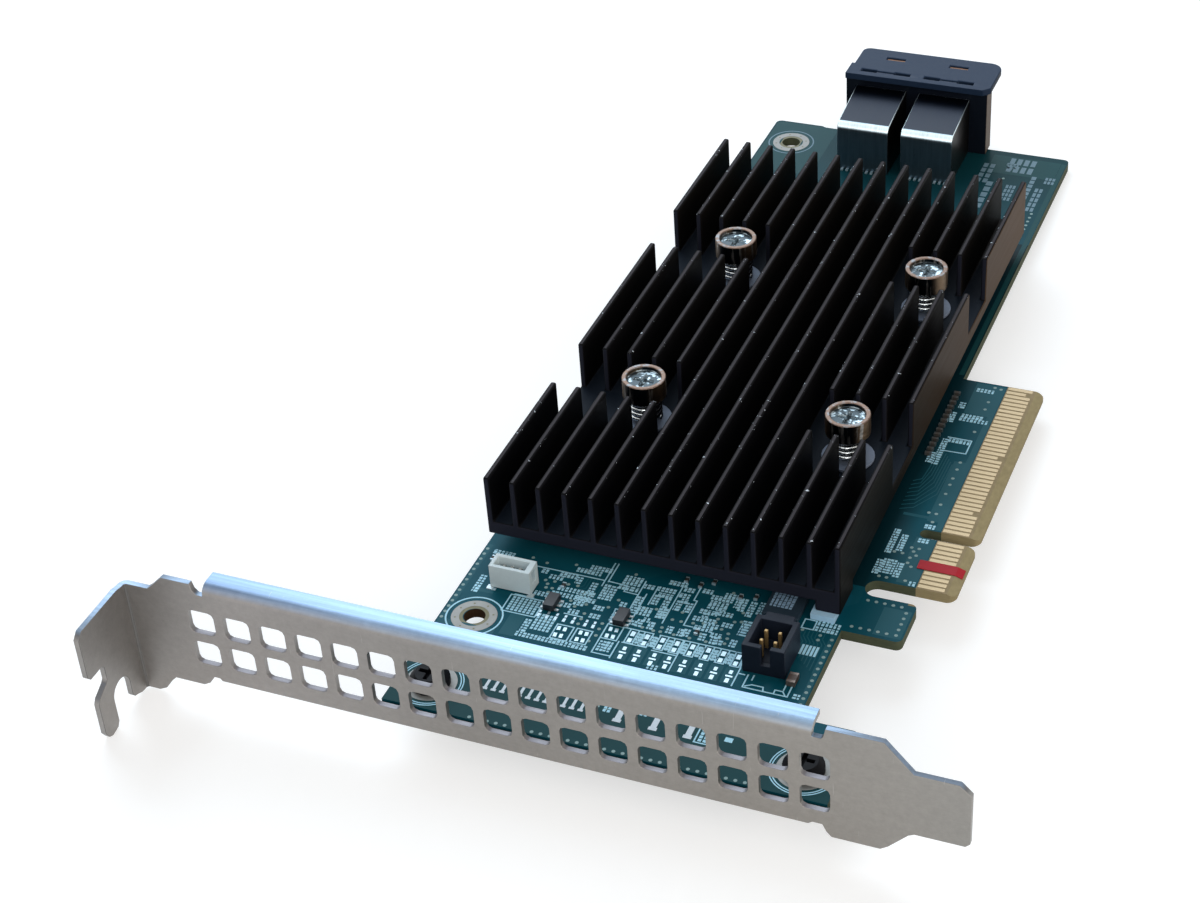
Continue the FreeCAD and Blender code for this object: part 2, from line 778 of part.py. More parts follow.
# The bracket: a face with two rows of vents
bracket = new_body("Bracket")
tab_outer = tab_inner - sheet_thick
lip_root = lip_top - lip_radius
foot_low = -board_thick - sheet_thick
face = new_sketch(bracket, "FaceOutline", "XZ_Plane")
left_ramp = ((foot_ramp_start, bracket_foot), (low_left, bracket_low))
left_step = ((low_left_end, bracket_low), (relief_left, relief_top))
right_step = ((relief_right, relief_top), (low_right, bracket_low))
right_ramp = ((low_right_end, bracket_low), (tongue_start, tongue_low))
neck_ramp = ((top_left_end, bracket_top), (neck_start, neck_top))
lip_left_end = lip_start - lip_gap
lip_right_end = lip_stop + lip_gap + relief_slope
add_loop(face, [
    (tab_outer, bracket_foot),
    left_ramp[0],
    *between(*left_ramp, [(0.375, 0.2), (0.75, 0.74)]),
    left_ramp[1],
    left_step[0],
    *between(*left_step, [(0.53, 0.32)]),
    left_step[1],
    (relief_left + relief_width, relief_top),
    (relief_left + relief_width + relief_slope, foot_low),
    (lip_stop - 2 * relief_slope, foot_low),
    (lip_stop, relief_top),
    right_step[0],
    *between(*right_step, [(0.42, 0.58)]),
    right_step[1],
    right_ramp[0],
    *between(*right_ramp, [(0.23, 0.18), (0.82, 0.89)]),
    right_ramp[1],
    (tongue_end - tongue_corner, tongue_low),
    (tongue_end, tongue_low + tongue_corner),
    (tongue_end, tongue_top - tongue_slant),
    (tongue_end - tongue_slant, tongue_top),
    (shoulder_low, tongue_top),
    (shoulder_high, bracket_top),
    (lip_right_end + 2 * relief_slope, bracket_top),
    (lip_right_end + relief_slope, lip_root + relief_slope),
    (lip_right_end, lip_root),
    (lip_left_end, lip_root),
    (top_left + relief_slope, lip_root + 2 * relief_slope),
    (top_left, bracket_top),
    neck_ramp[0],
    *between(*neck_ramp, [(0.74, 0.8)]),
    neck_ramp[1],
    (tab_outer, neck_top),
])
pad(bracket, face, "FacePad", sheet_thick, reverse=True)

# The screw tab stands out in front of the face, at a right angle.
tab = new_sketch(bracket, "TabOutline", "YZ_Plane", tab_outer)
slot_left = slot_middle - slot_radius
slot_right = slot_middle + slot_radius
tab_bend_end = -bend_inner - sheet_thick / 4
waist_out = ((-waist_depth, waist_low), (-tip_depth, tip_start))
tip_turn = ((-tip_depth, tip_end + tip_corner), (-tip_depth + tip_corner, tip_end))
inner_prong = ((slot_right, slot_inner_end), (tab_bend_end, bracket_foot))
add_loop(tab, [
    (sheet_thick, bracket_foot),
    (sheet_thick, neck_top),
    (tab_bend_end, neck_top),
    (-tab_shoulder, tab_top),
    (tab_corner - tab_depth, tab_top),
    (-tab_depth, tab_top - tab_corner),
    (-tab_depth, ledge_low + tab_corner * 0.7),
    (-tab_depth + tab_corner * 0.6, ledge_low),
    (-waist_depth - tab_corner / 2, ledge_low),
    (-waist_depth, waist_high),
    waist_out[0],
    *between(*waist_out, [(0.14, 0.2), (0.83, 0.67)]),
    waist_out[1],
    tip_turn[0],
    *between(*tip_turn, [(0.45, 0.75)]),
    tip_turn[1],
    (-waist_depth, tip_end + tab_corner * 0.3),
    (slot_left, slot_outer_end),
    (slot_left, slot_centre, -slot_radius),
    (slot_right, slot_centre),
    inner_prong[0],
    *between(*inner_prong, [(0.15, 0.43), (0.36, 0.57), (0.73, 0.93)]),
    inner_prong[1],
])
pad(bracket, tab, "TabPad", sheet_thick)

# The lip along the top edge is rolled back over the board.
lip = new_sketch(bracket, "LipProfile", "YZ_Plane", lip_start)
lip_inner_radius = lip_radius - sheet_thick
add_loop(lip, [
    (0, lip_root),
    (sheet_thick, lip_root, -lip_inner_radius),
    (lip_radius, lip_top - sheet_thick),
    (lip_back, lip_top - sheet_thick),
    (lip_back, lip_top),
    (lip_radius, lip_top, lip_radius),
])
pad(bracket, lip, "LipPad", lip_stop - lip_start)

# Two feet are bent back under the board.
for number, middle in enumerate((foot_left, foot_right), 1):
    foot = new_sketch(bracket, "FootProfile%d" % number, "YZ_Plane", middle - foot_width / 2)
    add_loop(foot, [
        (sheet_thick / 2, foot_low),
        (foot_depth, foot_low),
        (foot_depth, -board_thick),
        (sheet_thick / 2, -board_thick),
    ])
    pad(bracket, foot, "FootPad%d" % number, foot_width)

# Threaded holes in the feet, with the screws' own radius
threads = new_sketch(bracket, "FootHoles", "XY_Plane", -board_thick)
for hole_x in (hole_row, bracket_screw_right):
    add_circle(threads, hole_x, bracket_screw_y, bracket_screw_radius)
pocket_depth(bracket, threads, "FootHolesCut", 2 * sheet_thick)
doc.recompute()
flat_bracket = bracket.Tip
bend = bracket.newObject("PartDesign::Fillet", "TabBend")
bend.Base = (flat_bracket, corner_edges(
    flat_bracket.Shape, [(tab_outer.value, sheet_thick.value)]
))
bind(bend, "Radius", bend_inner + sheet_thick)
bracket.Tip = bend
doc.recompute()
inner_bend = bracket.newObject("PartDesign::Fillet", "TabBendInside")
inner_bend.Base = (bend, corner_edges(bend.Shape, [(tab_inner.value, 0.0)]))
bind(inner_bend, "Radius", bend_inner)
bracket.Tip = inner_bend

# Two rows of vents are punched through the face, one pair at a time.
vent = new_body("VentPunch")
vent_sketch = new_sketch(vent, "VentOutline", "XZ_Plane")
for middle in (vent_upper, vent_lower):
    add_loop(vent_sketch, soft_box_points(
        -vent_size / 2, middle - vent_size / 2, vent_size / 2, middle + vent_size / 2,
        vent_corner, 2,
    ))
vent_pad = pad(vent, vent_sketch, "VentPad", 4 * sheet_thick)
vent_pad.Midplane = True
vent_places = [(vent_first + vent_pitch * number, 0) for number in range(vent_count)]
datum_place(punched("VentedBracket", bracket, [(vent, vent_places)]), "bracket")


def cross_bars(name, top, arm, width, depth):
    """The two bars that a cross recess takes out of a screw's head."""
    bars = []
    for number, (side_x, side_y) in enumerate(((arm, width), (width, arm)), 1):
        bars.append(block(
            "%sBar%d" % (name, number), -side_x / 2, side_x / 2, -side_y / 2, side_y / 2,
            top - depth, top + depth,
        ))
    return bars


# Two black screws hold the bracket's feet to the board.
head_sides = 24
screw_sides = 12
screw_body = new_body("BracketScrewBody")
side_sketch = new_sketch(screw_body, "ScrewSide", "XY_Plane")
add_loop(side_sketch, round_points(0, 0, bracket_screw_head, head_sides))
pad(screw_body, side_sketch, "ScrewSidePad", bracket_screw_edge)
crown_sketch = new_sketch(screw_body, "ScrewCrown", "XY_Plane", bracket_screw_edge)
add_loop(crown_sketch, round_points(0, 0, bracket_screw_head, head_sides))
crown = pad(screw_body, crown_sketch, "ScrewCrownPad", bracket_screw_head_high - bracket_screw_edge)
bind(crown, "TaperAngle", -bracket_screw_taper)
shank_sketch = new_sketch(screw_body, "ScrewShankOutline", "XY_Plane")
add_loop(shank_sketch, round_points(0, 0, bracket_screw_radius, screw_sides))
pad(screw_body, shank_sketch, "ScrewShankPad", bracket_screw_length, reverse=True)
bracket_screw = cut("BracketScrew", screw_body, fuse("BracketScrewCross", cross_bars(
    "BracketScrew", bracket_screw_head_high, cross_length, cross_width, cross_depth,
)))
doc.recompute()
group("BracketScrews", "bracket_screws", copy_to(bracket_screw, bracket_places))

# The heatsink: a base, one fin repeated, cross cuts at the screws, and a foot at one corner
sink = new_body("Heatsink")
base = new_sketch(sink, "SinkBase", "XY_Plane", sink_bottom)
sink_far = sink_near + sink_length
sink_right = sink_left + sink_width
add_loop(base, [
    (sink_left, sink_near),
    (sink_right, sink_near),
    (sink_right, sink_far),
    (sink_left, sink_far),
])
pad(sink, base, "SinkBasePad", sink_base)
fin = new_sketch(sink, "SinkFin", "XY_Plane", sink_bottom + sink_base)
add_loop(fin, [
    (sink_left, sink_near),
    (sink_left + fin_thick, sink_near),
    (sink_left + fin_thick, sink_far),
    (sink_left, sink_far),
])
fin_pad = pad(sink, fin, "SinkFinPad", sink_top - sink_bottom - sink_base)
fin_pitch = (sink_width - fin_thick) / (fin_count - 1)
repeat(sink, fin_pad, fin, "SinkFins", fin_pitch, fin_count)
cuts = new_sketch(sink, "SinkCuts", "XY_Plane", sink_top)
for middle in (cut_near, cut_far):
    for left, right in ((sink_left - 1, cut_left_side), (cut_right_side, sink_right + 1)):
        add_loop(cuts, [
            (left, middle - cut_width / 2),
            (right, middle - cut_width / 2),
            (right, middle + cut_width / 2),
            (left, middle + cut_width / 2),
        ])
pocket_depth(sink, cuts, "SinkCutsPocket", sink_top - sink_bottom - sink_base)
sink_holes = new_sketch(sink, "SinkHoles", "XY_Plane", sink_bottom + sink_base)
for hole_x in (screw_left, screw_right):
    for hole_y in (cut_near, cut_far):
        add_loop(sink_holes, round_points(hole_x, hole_y, spring_screw_radius + 4 * gap, screw_sides))
pocket_depth(sink, sink_holes, "SinkHolesCut", sink_base + 1)
post = new_sketch(sink, "SinkFoot", "XY_Plane", foot_post_bottom)
add_loop(post, [
    (sink_right - foot_post_width, sink_near),
    (sink_right, sink_near),
    (sink_right, sink_near + foot_post_depth),
    (sink_right - foot_post_width, sink_near + foot_post_depth),
])
pad(sink, post, "SinkFootPad", sink_bottom - foot_post_bottom)
datum_place(sink, "heatsink")

# The white pad under the heatsink's foot
foot_pad_left = sink_right - foot_post_width - foot_pad_out
foot_pad = block(
    "FootPad",
    foot_pad_left,
    sink_right - foot_pad_back,
    sink_near - 2 * foot_pad_out,
    sink_near + foot_post_depth,
    as_size(0),
    foot_post_bottom,
)
datum_place(collect("FootPads", [foot_pad]), "foot_pad")

# Sprung screws: a deep cup head, a long shank, and a cross recess in the cup
screw_low = -board_thick - nut_high - 8 * gap
cup_floor = spring_screw_head_top - cup_depth
washer_low = sink_bottom + sink_base
washer_top = washer_low + washer_thick
spring_screw = cut("SpringScrew", fuse("SpringScrewBody", [
    round_bar("ScrewShank", spring_screw_radius, screw_low, cup_floor, screw_sides),
    round_bar(
        "ScrewHead", spring_screw_head, spring_screw_head_low, spring_screw_head_top, head_sides
    ),
]), fuse("ScrewRecess", [
    round_bar("ScrewCup", cup_radius, cup_floor, spring_screw_head_top + 1, head_sides),
] + cross_bars("SpringScrew", cup_floor, cross_length, cross_width, cross_depth)))
washer = cut(
    "Washer",
    round_bar("WasherDisc", washer_radius, washer_low, washer_top, head_sides),
    round_bar(
        "WasherHole", spring_screw_radius + 2 * gap, washer_low - 1, washer_top + 1, screw_sides
    ),
)

# Six-sided nuts pressed into the board from below
nut_low = -board_thick - nut_high
nut = cut("Nut", fuse("NutBody", [
    round_bar("NutFlange", nut_radius, nut_low, -board_thick, 6),
    round_bar("NutCollar", nut_collar, nut_low, -gap, nut_sides),
]), round_bar("NutBore", spring_screw_radius, nut_low - 1, as_size(1), screw_sides))
doc.recompute()

group("SpringScrews", "heatsink_screws", copy_to(spring_screw, screw_places))
group("Washers", "spring_washers", copy_to(washer, screw_places))
group("Nuts", "board_nuts", copy_to(nut, screw_places))


def coiled_wire(radius, wire, low, high, turns, steps, sides):
    """A helix of short straight stretches of wire, mitred where they meet. The wire's outline is
    carried along each stretch until it meets the plane that halves the next corner."""
    count = int(turns * steps)
    path = []
    for number in range(count + 1):
        angle = 2 * math.pi * number / steps
        path.append(FreeCAD.Vector(
            radius * math.cos(angle), radius * math.sin(angle), low + (high - low) * number / count
        ))
    ways = [(after - here).normalize() for here, after in zip(path, path[1:])]
    aside = ways[0].cross(FreeCAD.Vector(0, 0, 1)).normalize()
    across = ways[0].cross(aside)
    outline = []
    for number in range(sides):
        angle = 2 * math.pi * number / sides
        outline.append(path[0] + aside * (wire * math.cos(angle)) + across * (wire * math.sin(angle)))
    faces = [Part.Face(Part.makePolygon(outline + outline[:1]))]
    for number, way in enumerate(ways):
        corner = path[number + 1]
        across = way if number + 1 == count else way + ways[number + 1]
        following = [
            point + way * ((corner - point).dot(across) / way.dot(across)) for point in outline
        ]
        for here in range(sides):
            after = (here + 1) % sides
            side = [outline[here], outline[after], following[after], following[here], outline[here]]
            faces.append(Part.Face(Part.makePolygon(side)))
        outline = following
    faces.append(Part.Face(Part.makePolygon(outline + outline[:1])))
    solid = Part.Solid(Part.Shell(faces))
    if solid.Volume < 0:
        solid.reverse()
    return solid


# Each spring stands between its washer and the underside of its screw's head.
spring_end = spring_wire.value + gap.value / 2
spring = doc.addObject("Part::Feature", "Spring")
spring.Shape = coiled_wire(
    spring_radius.value, spring_wire.value, washer_top.value + spring_end,
    spring_screw_head_low.value - spring_end, spring_turns, spring_steps, 5,
)
group("Springs", "heatsink_springs", copy_to(spring, screw_places))

# The controller: a package with a metal lid, under a thermal pad
chip_top = chip_high + lid_high


def centred(name, label, side, low, high):
    """A square plate about the controller's middle, as a node of its own."""
    plate = block(
        name, chip_x - side / 2, chip_x + side / 2, chip_y - side / 2, chip_y + side / 2,
        as_size(low), as_size(high),
    )
    return datum_place(collect(name + "Node", [plate]), label)


centred("Package", "controller_package", chip_side, 0, chip_high)
centred("Lid", "controller_lid", lid_side, chip_high, chip_top)
centred("ThermalPad", "thermal_pad", lid_side, chip_top, sink_bottom)

# Memory chips under the heatsink and under the board, and other packages
board_under = -board_thick
sink_middle = sink_left + sink_width / 2


def row_of(count, middle, pitch):
    """Places of equal pieces in a row about a middle."""
    return [middle + pitch * (number - (count - 1) / 2) for number in range(count)]


group("MemoryUpper", "memory_chips_upper", [
    box_at(x, memory_row, memory_width, memory_length, 0, memory_high)
    for x in row_of(5, sink_middle, memory_pitch)
])
group("MemoryLower", "memory_chips_lower", [
    box_at(x, memory_row, memory_width, memory_length, board_under - memory_high, board_under)
    for x in row_of(4, sink_middle, memory_pitch)
])
group("Firmware", "firmware_chip", [
    box_at(
        firmware_x, firmware_y, firmware_width, firmware_length,
        board_under - firmware_high, board_under,
    ),
])
clock_x = foot_pad_left - clock_space - clock_width / 2
group("Clock", "clock_chip", [
    box_at(clock_x, sink_near, clock_width, clock_length, 0, clock_high),
])
regulator_places = [regulator_start + regulator_pitch * number for number in range(3)]
group("Inductors", "regulator_inductors", [
    box_at(x, inductor_row, inductor_side, inductor_side, 0, inductor_high)
    for x in regulator_places
])
group("Switches", "regulator_switches", [
    box_at(x, switch_row, switch_side, switch_side, 0, switch_high)
    for x in regulator_places
])


def logic_chip(x, y):
    """A small six-legged package: a body on two rows of three flat legs."""
    body = box_at(x, y, logic_width, logic_length, leg_thick / 2, logic_high)
    legs = []
    for side in (-1, 1):
        leg_x = x + (logic_width / 2 + leg_reach / 2 - gap) * side
        for step in (-1, 0, 1):
            legs.append(box_at(leg_x, y + leg_pitch * step, leg_reach, leg_width, 0, leg_thick))
    return body.fuse(legs).removeSplitter()


group("LogicChips", "logic_chips", [
    logic_chip(logic_left, logic_row), logic_chip(logic_right, logic_row),
])
coupling_x = sink_right + coupling_space + coupling_long / 2
group("Coupling", "coupling_capacitors", [
    box_at(
        coupling_x, coupling_start + coupling_pitch * number, coupling_long, coupling_wide,
        0, coupling_wide,
    )
    for number in range(14)
])
filter_x = header_left + header_width + filter_space + filter_width / 2
group("Filter", "filter_capacitor", [
    box_at(filter_x, header_near, filter_width, filter_length, 0, filter_high),
])
clock_left = clock_x - clock_width / 2
passive_places = [
    (logic_left, logic_row + passive_length * 4.25),
    (header_left - passive_length * 8.5, logic_row + passive_length * 0.65),
    (socket_left - passive_length * 2.2, socket_near + passive_length * 5.9),
]
for aside, back in ((2.0, 1.0), (4.1, 0.4), (8.7, 2.4), (10.3, 1.1), (12.6, 1.6)):
    passive_places.append((clock_left - passive_length * aside, sink_near + passive_length * back))
group("Passives", "small_passives", [
    box_at(x, y, passive_width, passive_length, 0, passive_high) for x, y in passive_places
])
group("Decoupling", "decoupling_capacitors", [
    box_at(
        x, y, decoupling_long, decoupling_wide, board_under - decoupling_high, board_under,
    )
    for x in row_of(6, chip_x, decoupling_pitch)
    for y in row_of(5, chip_y, decoupling_pitch)
])

# The cable connector: an upright black wall under a hood that reaches past the board's end
port_middles = (cage_left_start + cage_width / 2, cage_right_start + cage_width / 2)
hood = new_body("Hood")
hood_sketch = new_sketch(hood, "HoodOutline", "XY_Plane", hood_low)
add_loop(hood_sketch, [
    (ports_left, ports_front),
    (hood_right - hood_chamfer, ports_front),
    (hood_right, ports_front + hood_chamfer),
    (hood_right, hood_end - hood_wide_round, hood_wide_round),
    (hood_right - hood_wide_round, hood_end),
    (hood_left + hood_round, hood_end, hood_round),
    (hood_left, hood_end - hood_round),
    (hood_left, ports_wall + hood_chamfer),
    (ports_left, ports_wall),
])
pad(hood, hood_sketch, "HoodPad", hood_top - hood_low)
housing = fuse("Housing", [
    block("PortsWall", ports_left, ports_right, ports_wall, ports_face, as_size(0), hood_top),
    hood,
])
slots = []
tongue_plates = []
for number, middle in enumerate(port_middles, 1):
    slot_begin = middle + latch_slot_start
    slot_finish = middle + latch_slot_stop
    for part, left, right, width in (
        ("Left", slot_begin, slot_begin + latch_slot_end, latch_slot_wide),
        ("Middle", slot_begin, slot_finish, latch_slot_narrow),
        ("Right", slot_finish - latch_slot_end, slot_finish, latch_slot_wide),
    ):
        slots.append(block(
            "LatchSlot%s%d" % (part, number), left, right,
            latch_slot_middle - width / 2, latch_slot_middle + width / 2,
            hood_low - gap, hood_top + 1,
        ))
    window = (middle + window_start, middle + window_stop, window_near, window_near + window_wide)
    slots.append(block("HoodWindow%d" % number, *window, hood_low - 1, hood_top + 1))
    tongue_plates.append(box_at(
        (window[0] + window[1]) / 2, (window[2] + window[3]) / 2, window[1] - window[0],
        window[3] - window[2], hood_low + gap, hood_low + gap + tongue_plate,
    ))
    slots.append(block(
        "WallOpening%d" % number, middle - nose_width / 2 - gap, middle + nose_width / 2 + gap,
        ports_wall - 1, ports_face + 1, nose_low - gap, nose_high + gap,
    ))
ports_housing = cut("PortsHousing", housing, fuse("HousingSlots", slots))
datum_place(ports_housing, "port_housing")


def port_cover(name, start, label):
    """A folded metal cover: an upright front, a bend, and a top that rises to the housing."""
    body = new_body(name)
    profile = new_sketch(body, name + "Profile", "YZ_Plane", start)
    back = ports_wall - gap
    add_loop(profile, [
        (cage_front, 0),
        (back, 0),
        (back, cage_high),
        (cage_front + cage_bend, cage_low, cage_bend),
        (cage_front, cage_low - cage_bend),
    ])
    pad(body, profile, name + "Pad", cage_width)
    inside = new_sketch(body, name + "Inside", "YZ_Plane", start + cage_thick)
    add_loop(inside, [
        (cage_front + cage_thick, -1),
        (back + 1, -1),
        (back + 1, cage_high - cage_thick),
        (cage_front + cage_bend, cage_low - cage_thick - gap),
        (cage_front + cage_thick, cage_low - cage_bend),
    ])
    pocket_depth(body, inside, name + "Hollow", cage_width - 2 * cage_thick, reverse=True)
    return datum_place(body, label)


port_cover("CoverLeft", cage_left_start, "port_cover_left")
port_cover("CoverRight", cage_right_start, "port_cover_right")

# In each port a black block carries the contacts; its nose stands out through the wall.
nose_mouths = [
    block(
        "NoseMouth%d%d" % (port, level), middle - nose_width / 2 + nose_wall,
        middle + nose_width / 2 - nose_wall, nose_end - mouth_depth, nose_end + 1,
        nose_low + mouth_low + mouth_pitch * level,
        nose_low + mouth_low + mouth_high + mouth_pitch * level,
    )
    for port, middle in enumerate(port_middles)
    for level in (0, 1)
]
mouths = fuse("NoseMouths", nose_mouths)
block_top = cage_low - cage_bend - gap
inner_half = cage_width / 2 - cage_thick - gap
for side, middle in zip(("left", "right"), port_middles):
    carrier = fuse("Carrier_" + side, [
        block(
            "CarrierBody_" + side, middle - inner_half, middle + inner_half,
            cage_front + cage_thick + gap, ports_wall - gap, as_size(0), block_top,
        ),
        block(
            "CarrierNose_" + side, middle - nose_width / 2, middle + nose_width / 2,
            ports_wall - 1, nose_end, nose_low, nose_high,
        ),
    ])
    datum_place(cut("ContactBlock_" + side, carrier, mouths), "contact_block_" + side)

# Gold contacts inside the noses' mouths, the gold plates in the hood's windows, and the solder
# tails at the covers' feet
nose_contact_pitch = (nose_width - 2 * nose_wall) / nose_contact_count
nose_contacts = []
tails = []
for middle in port_middles:
    for x in row_of(nose_contact_count, middle, nose_contact_pitch):
        for level in (0, 1):
            floor = nose_low + mouth_low + mouth_pitch * level
            nose_contacts.append(box_at(
                x, nose_end - mouth_depth + nose_contact_long / 2, nose_contact_wide,
                nose_contact_long, floor, floor + nose_contact_thick,
            ))
    for x in row_of(nose_contact_count, middle, tail_pitch):
        tails.append(box_at(x, cage_front - tail_long / 2, tail_wide, tail_long, 0, tail_thick))
group("PortContacts", "port_contacts", nose_contacts + tongue_plates)
group("PortTails", "port_tails", tails)

# The small white socket near the left edge, with three pins
socket_right = socket_left + socket_width
socket_far = socket_near + socket_depth
socket_floor = socket_lift + socket_wall + 4 * gap
socket = cut("Socket", block(
    "SocketBlock", socket_left, socket_right, socket_near, socket_far, socket_lift, socket_high,
), fuse("SocketTools", [
    block(
        "SocketCavity", socket_left + socket_wall, socket_right - socket_wall * 1.6,
        socket_near + socket_wall, socket_far - socket_wall, socket_floor, socket_high + 1,
    ),
    block(
        "SocketSide", socket_right - socket_wall * 2, socket_right + 1,
        socket_near + socket_wall * 1.6, socket_far - socket_wall * 1.6, socket_floor + socket_wall,
        socket_high - socket_wall,
    ),
]))
datum_place(socket, "sensor_socket")
socket_solids = []
socket_row = socket_near + socket_depth / 2
for x in row_of(3, socket_left + socket_width / 2 - 2 * gap, socket_pitch):
    socket_solids.append(box_at(
        x, socket_row, socket_pin, socket_pin, socket_floor, socket_floor + socket_pin_high,
    ))
    socket_solids.append(box_at(x, socket_far, socket_pin, socket_pin * 2, 0, socket_lift))
for x in (socket_left, socket_right):
    socket_solids.append(box_at(
        x, socket_near + socket_lug / 2 - socket_lug_out, socket_lug, socket_lug, 0, socket_lift,
    ))
group("SocketPins", "sensor_socket_pins", socket_solids)

# The black shrouded header with four pins
header_right = header_left + header_width
header_far = header_near + header_depth
shroud = cut("Shroud", fuse("ShroudBody", [
    block(
        "ShroudBlock", header_left, header_right, header_near, header_far, as_size(0), header_high,
    ),
    block(
        "ShroudRib", header_left + 1.1, header_right - 0.9, header_far - 0.2, header_far + 0.9,
        as_size(0), header_high,
    ),
]), fuse("ShroudTools", [
    block(
        "ShroudCavity", header_left + header_wall, header_right - header_wall,
        header_near + header_wall, header_far - header_wall, header_floor, header_high + 1,
    ),
    block(
        "ShroudNotch", header_left + 2.7, header_left + 2.7 + header_slot,
        header_near - 1, header_near + header_wall + 0.5, header_floor + 0.4, header_high + 1,
    ),
] + [
    block(
        "ShroudPinHole%d" % number, x - header_pin / 2, x + header_pin / 2,
        y - header_pin / 2, y + header_pin / 2, as_size(-1), header_floor + 1,
    )
    for number, (x, y) in enumerate(pin_spots, 1)
]))
datum_place(shroud, "header_shroud")
header_pins = collect("HeaderPins", [
    block(
        "HeaderPin%d" % number, x - header_pin / 2, x + header_pin / 2,
        y - header_pin / 2, y + header_pin / 2, -board_thick - pin_below, header_pin_top,
    )
    for number, (x, y) in enumerate(pin_spots, 1)
])
datum_place(header_pins, "header_pins")

doc.recompute()

# Every piece is checked before any file is written.
node_labels = [
    "circuit_board", "edge_contacts_upper", "edge_contacts_lower", "contact_tape", "bracket",
    "bracket_screws", "heatsink", "foot_pad", "heatsink_screws", "spring_washers",
    "heatsink_springs", "board_nuts", "controller_package", "controller_lid", "thermal_pad",
    "memory_chips_upper", "memory_chips_lower", "firmware_chip", "clock_chip",
    "regulator_inductors", "regulator_switches", "logic_chips", "coupling_capacitors",
    "filter_capacitor", "small_passives", "decoupling_capacitors", "port_housing",
    "port_cover_left", "port_cover_right", "contact_block_left", "contact_block_right",
    "port_contacts", "port_tails", "sensor_socket", "sensor_socket_pins", "header_shroud",
    "header_pins",
]
for item in doc.Objects:
    states = [state for state in item.State if state in ("Invalid", "Error")]
    if states:
        raise RuntimeError("%s (%s) is %s" % (item.Name, item.Label, states))

nodes = []
for label in node_labels:
    found = doc.getObjectsByLabel(label)
    if len(found) != 1:
        raise RuntimeError("%s: %d objects have this label" % (label, len(found)))
    shape = found[0].Shape
    if shape.isNull() or not shape.isValid() or not shape.Solids:
        raise RuntimeError("%s has no valid solid" % label)
    nodes.append((label, shape))

os.makedirs("parts", exist_ok=True)
for label, shape in nodes:
    shape.exportStep("parts/%s.step" % label)
    box = shape.BoundBox
    print("%-24s %3d solid(s) %10.2f mm3  x %8.2f %8.2f  y %8.2f %8.2f  z %7.2f %7.2f" % (
        label, len(shape.Solids), shape.Volume,
        box.XMin, box.XMax, box.YMin, box.YMax, box.ZMin, box.ZMax,
    ))
print("%d pieces" % len(nodes))
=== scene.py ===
import math

import bmesh
import bpy
import numpy as np
from mathutils import Matrix, Vector


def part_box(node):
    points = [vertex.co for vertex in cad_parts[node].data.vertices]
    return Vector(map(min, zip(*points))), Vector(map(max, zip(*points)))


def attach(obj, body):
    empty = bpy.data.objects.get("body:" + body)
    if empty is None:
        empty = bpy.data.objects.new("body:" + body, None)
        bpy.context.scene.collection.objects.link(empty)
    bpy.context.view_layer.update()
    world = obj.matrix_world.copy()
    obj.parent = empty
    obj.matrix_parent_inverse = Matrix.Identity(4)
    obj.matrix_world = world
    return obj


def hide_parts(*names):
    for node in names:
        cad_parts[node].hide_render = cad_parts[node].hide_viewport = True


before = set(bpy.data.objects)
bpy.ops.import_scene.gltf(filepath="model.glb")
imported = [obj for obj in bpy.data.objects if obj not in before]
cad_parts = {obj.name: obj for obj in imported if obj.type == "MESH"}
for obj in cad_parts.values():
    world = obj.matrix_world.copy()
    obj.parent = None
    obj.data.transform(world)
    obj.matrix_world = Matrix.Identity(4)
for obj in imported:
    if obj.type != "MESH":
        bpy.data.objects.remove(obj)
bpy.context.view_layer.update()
mm = 0.001

# Places on the card are given in millimetres, as they were measured: x from the inner ends
# of the gold contacts, y from the bracket's outer face, z from the board's component side.
nearEdge = 1.6  # the board's near edge lies this far behind the bracket's face
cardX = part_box("edge_contacts_upper")[0].x
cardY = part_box("circuit_board")[0].y - nearEdge * mm
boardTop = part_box("circuit_board")[1].z
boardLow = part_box("circuit_board")[0].z


def onCard(points):
    # card millimetres to the part's own metres, a whole array at once
    return np.asarray(points, float) * mm + np.array([cardX, cardY, boardTop])


def cardAtX(x):
    return float(cardX + x * mm)


def cardAtY(y):
    return float(cardY + y * mm)


def operator(operation, reflected=False):
    # one of a socket's operators, which adds its Math node
    def combine(self, other):
        return self.math(operation, *((other, self) if reflected else (self, other)))
    return combine


class Sock:
    # the output of a shader node, so that masks can be written as sums: 1 - mask * 0.5
    def __init__(self, wiring, socket):
        self.wiring = wiring
        self.socket = socket

    def math(self, operation, *values, clamp=False):
        settings = {"operation": operation, "use_clamp": clamp}
        return self.wiring.node("ShaderNodeMath", settings, dict(enumerate(values)))

    __add__, __radd__ = operator("ADD"), operator("ADD", reflected=True)
    __sub__, __rsub__ = operator("SUBTRACT"), operator("SUBTRACT", reflected=True)
    __mul__, __rmul__ = operator("MULTIPLY"), operator("MULTIPLY", reflected=True)
    __gt__, __lt__ = operator("GREATER_THAN"), operator("LESS_THAN")

    def clipped(self):
        return self.math("ADD", self, 0.0, clamp=True)

    def size(self):
        return self.math("ABSOLUTE", self)

    def axes(self):
        # x, y and z of a vector
        split = self.wiring.tree.nodes.new("ShaderNodeSeparateXYZ")
        self.wiring.put(split, 0, self)
        return [Sock(self.wiring, split.outputs[axis]) for axis in range(3)]


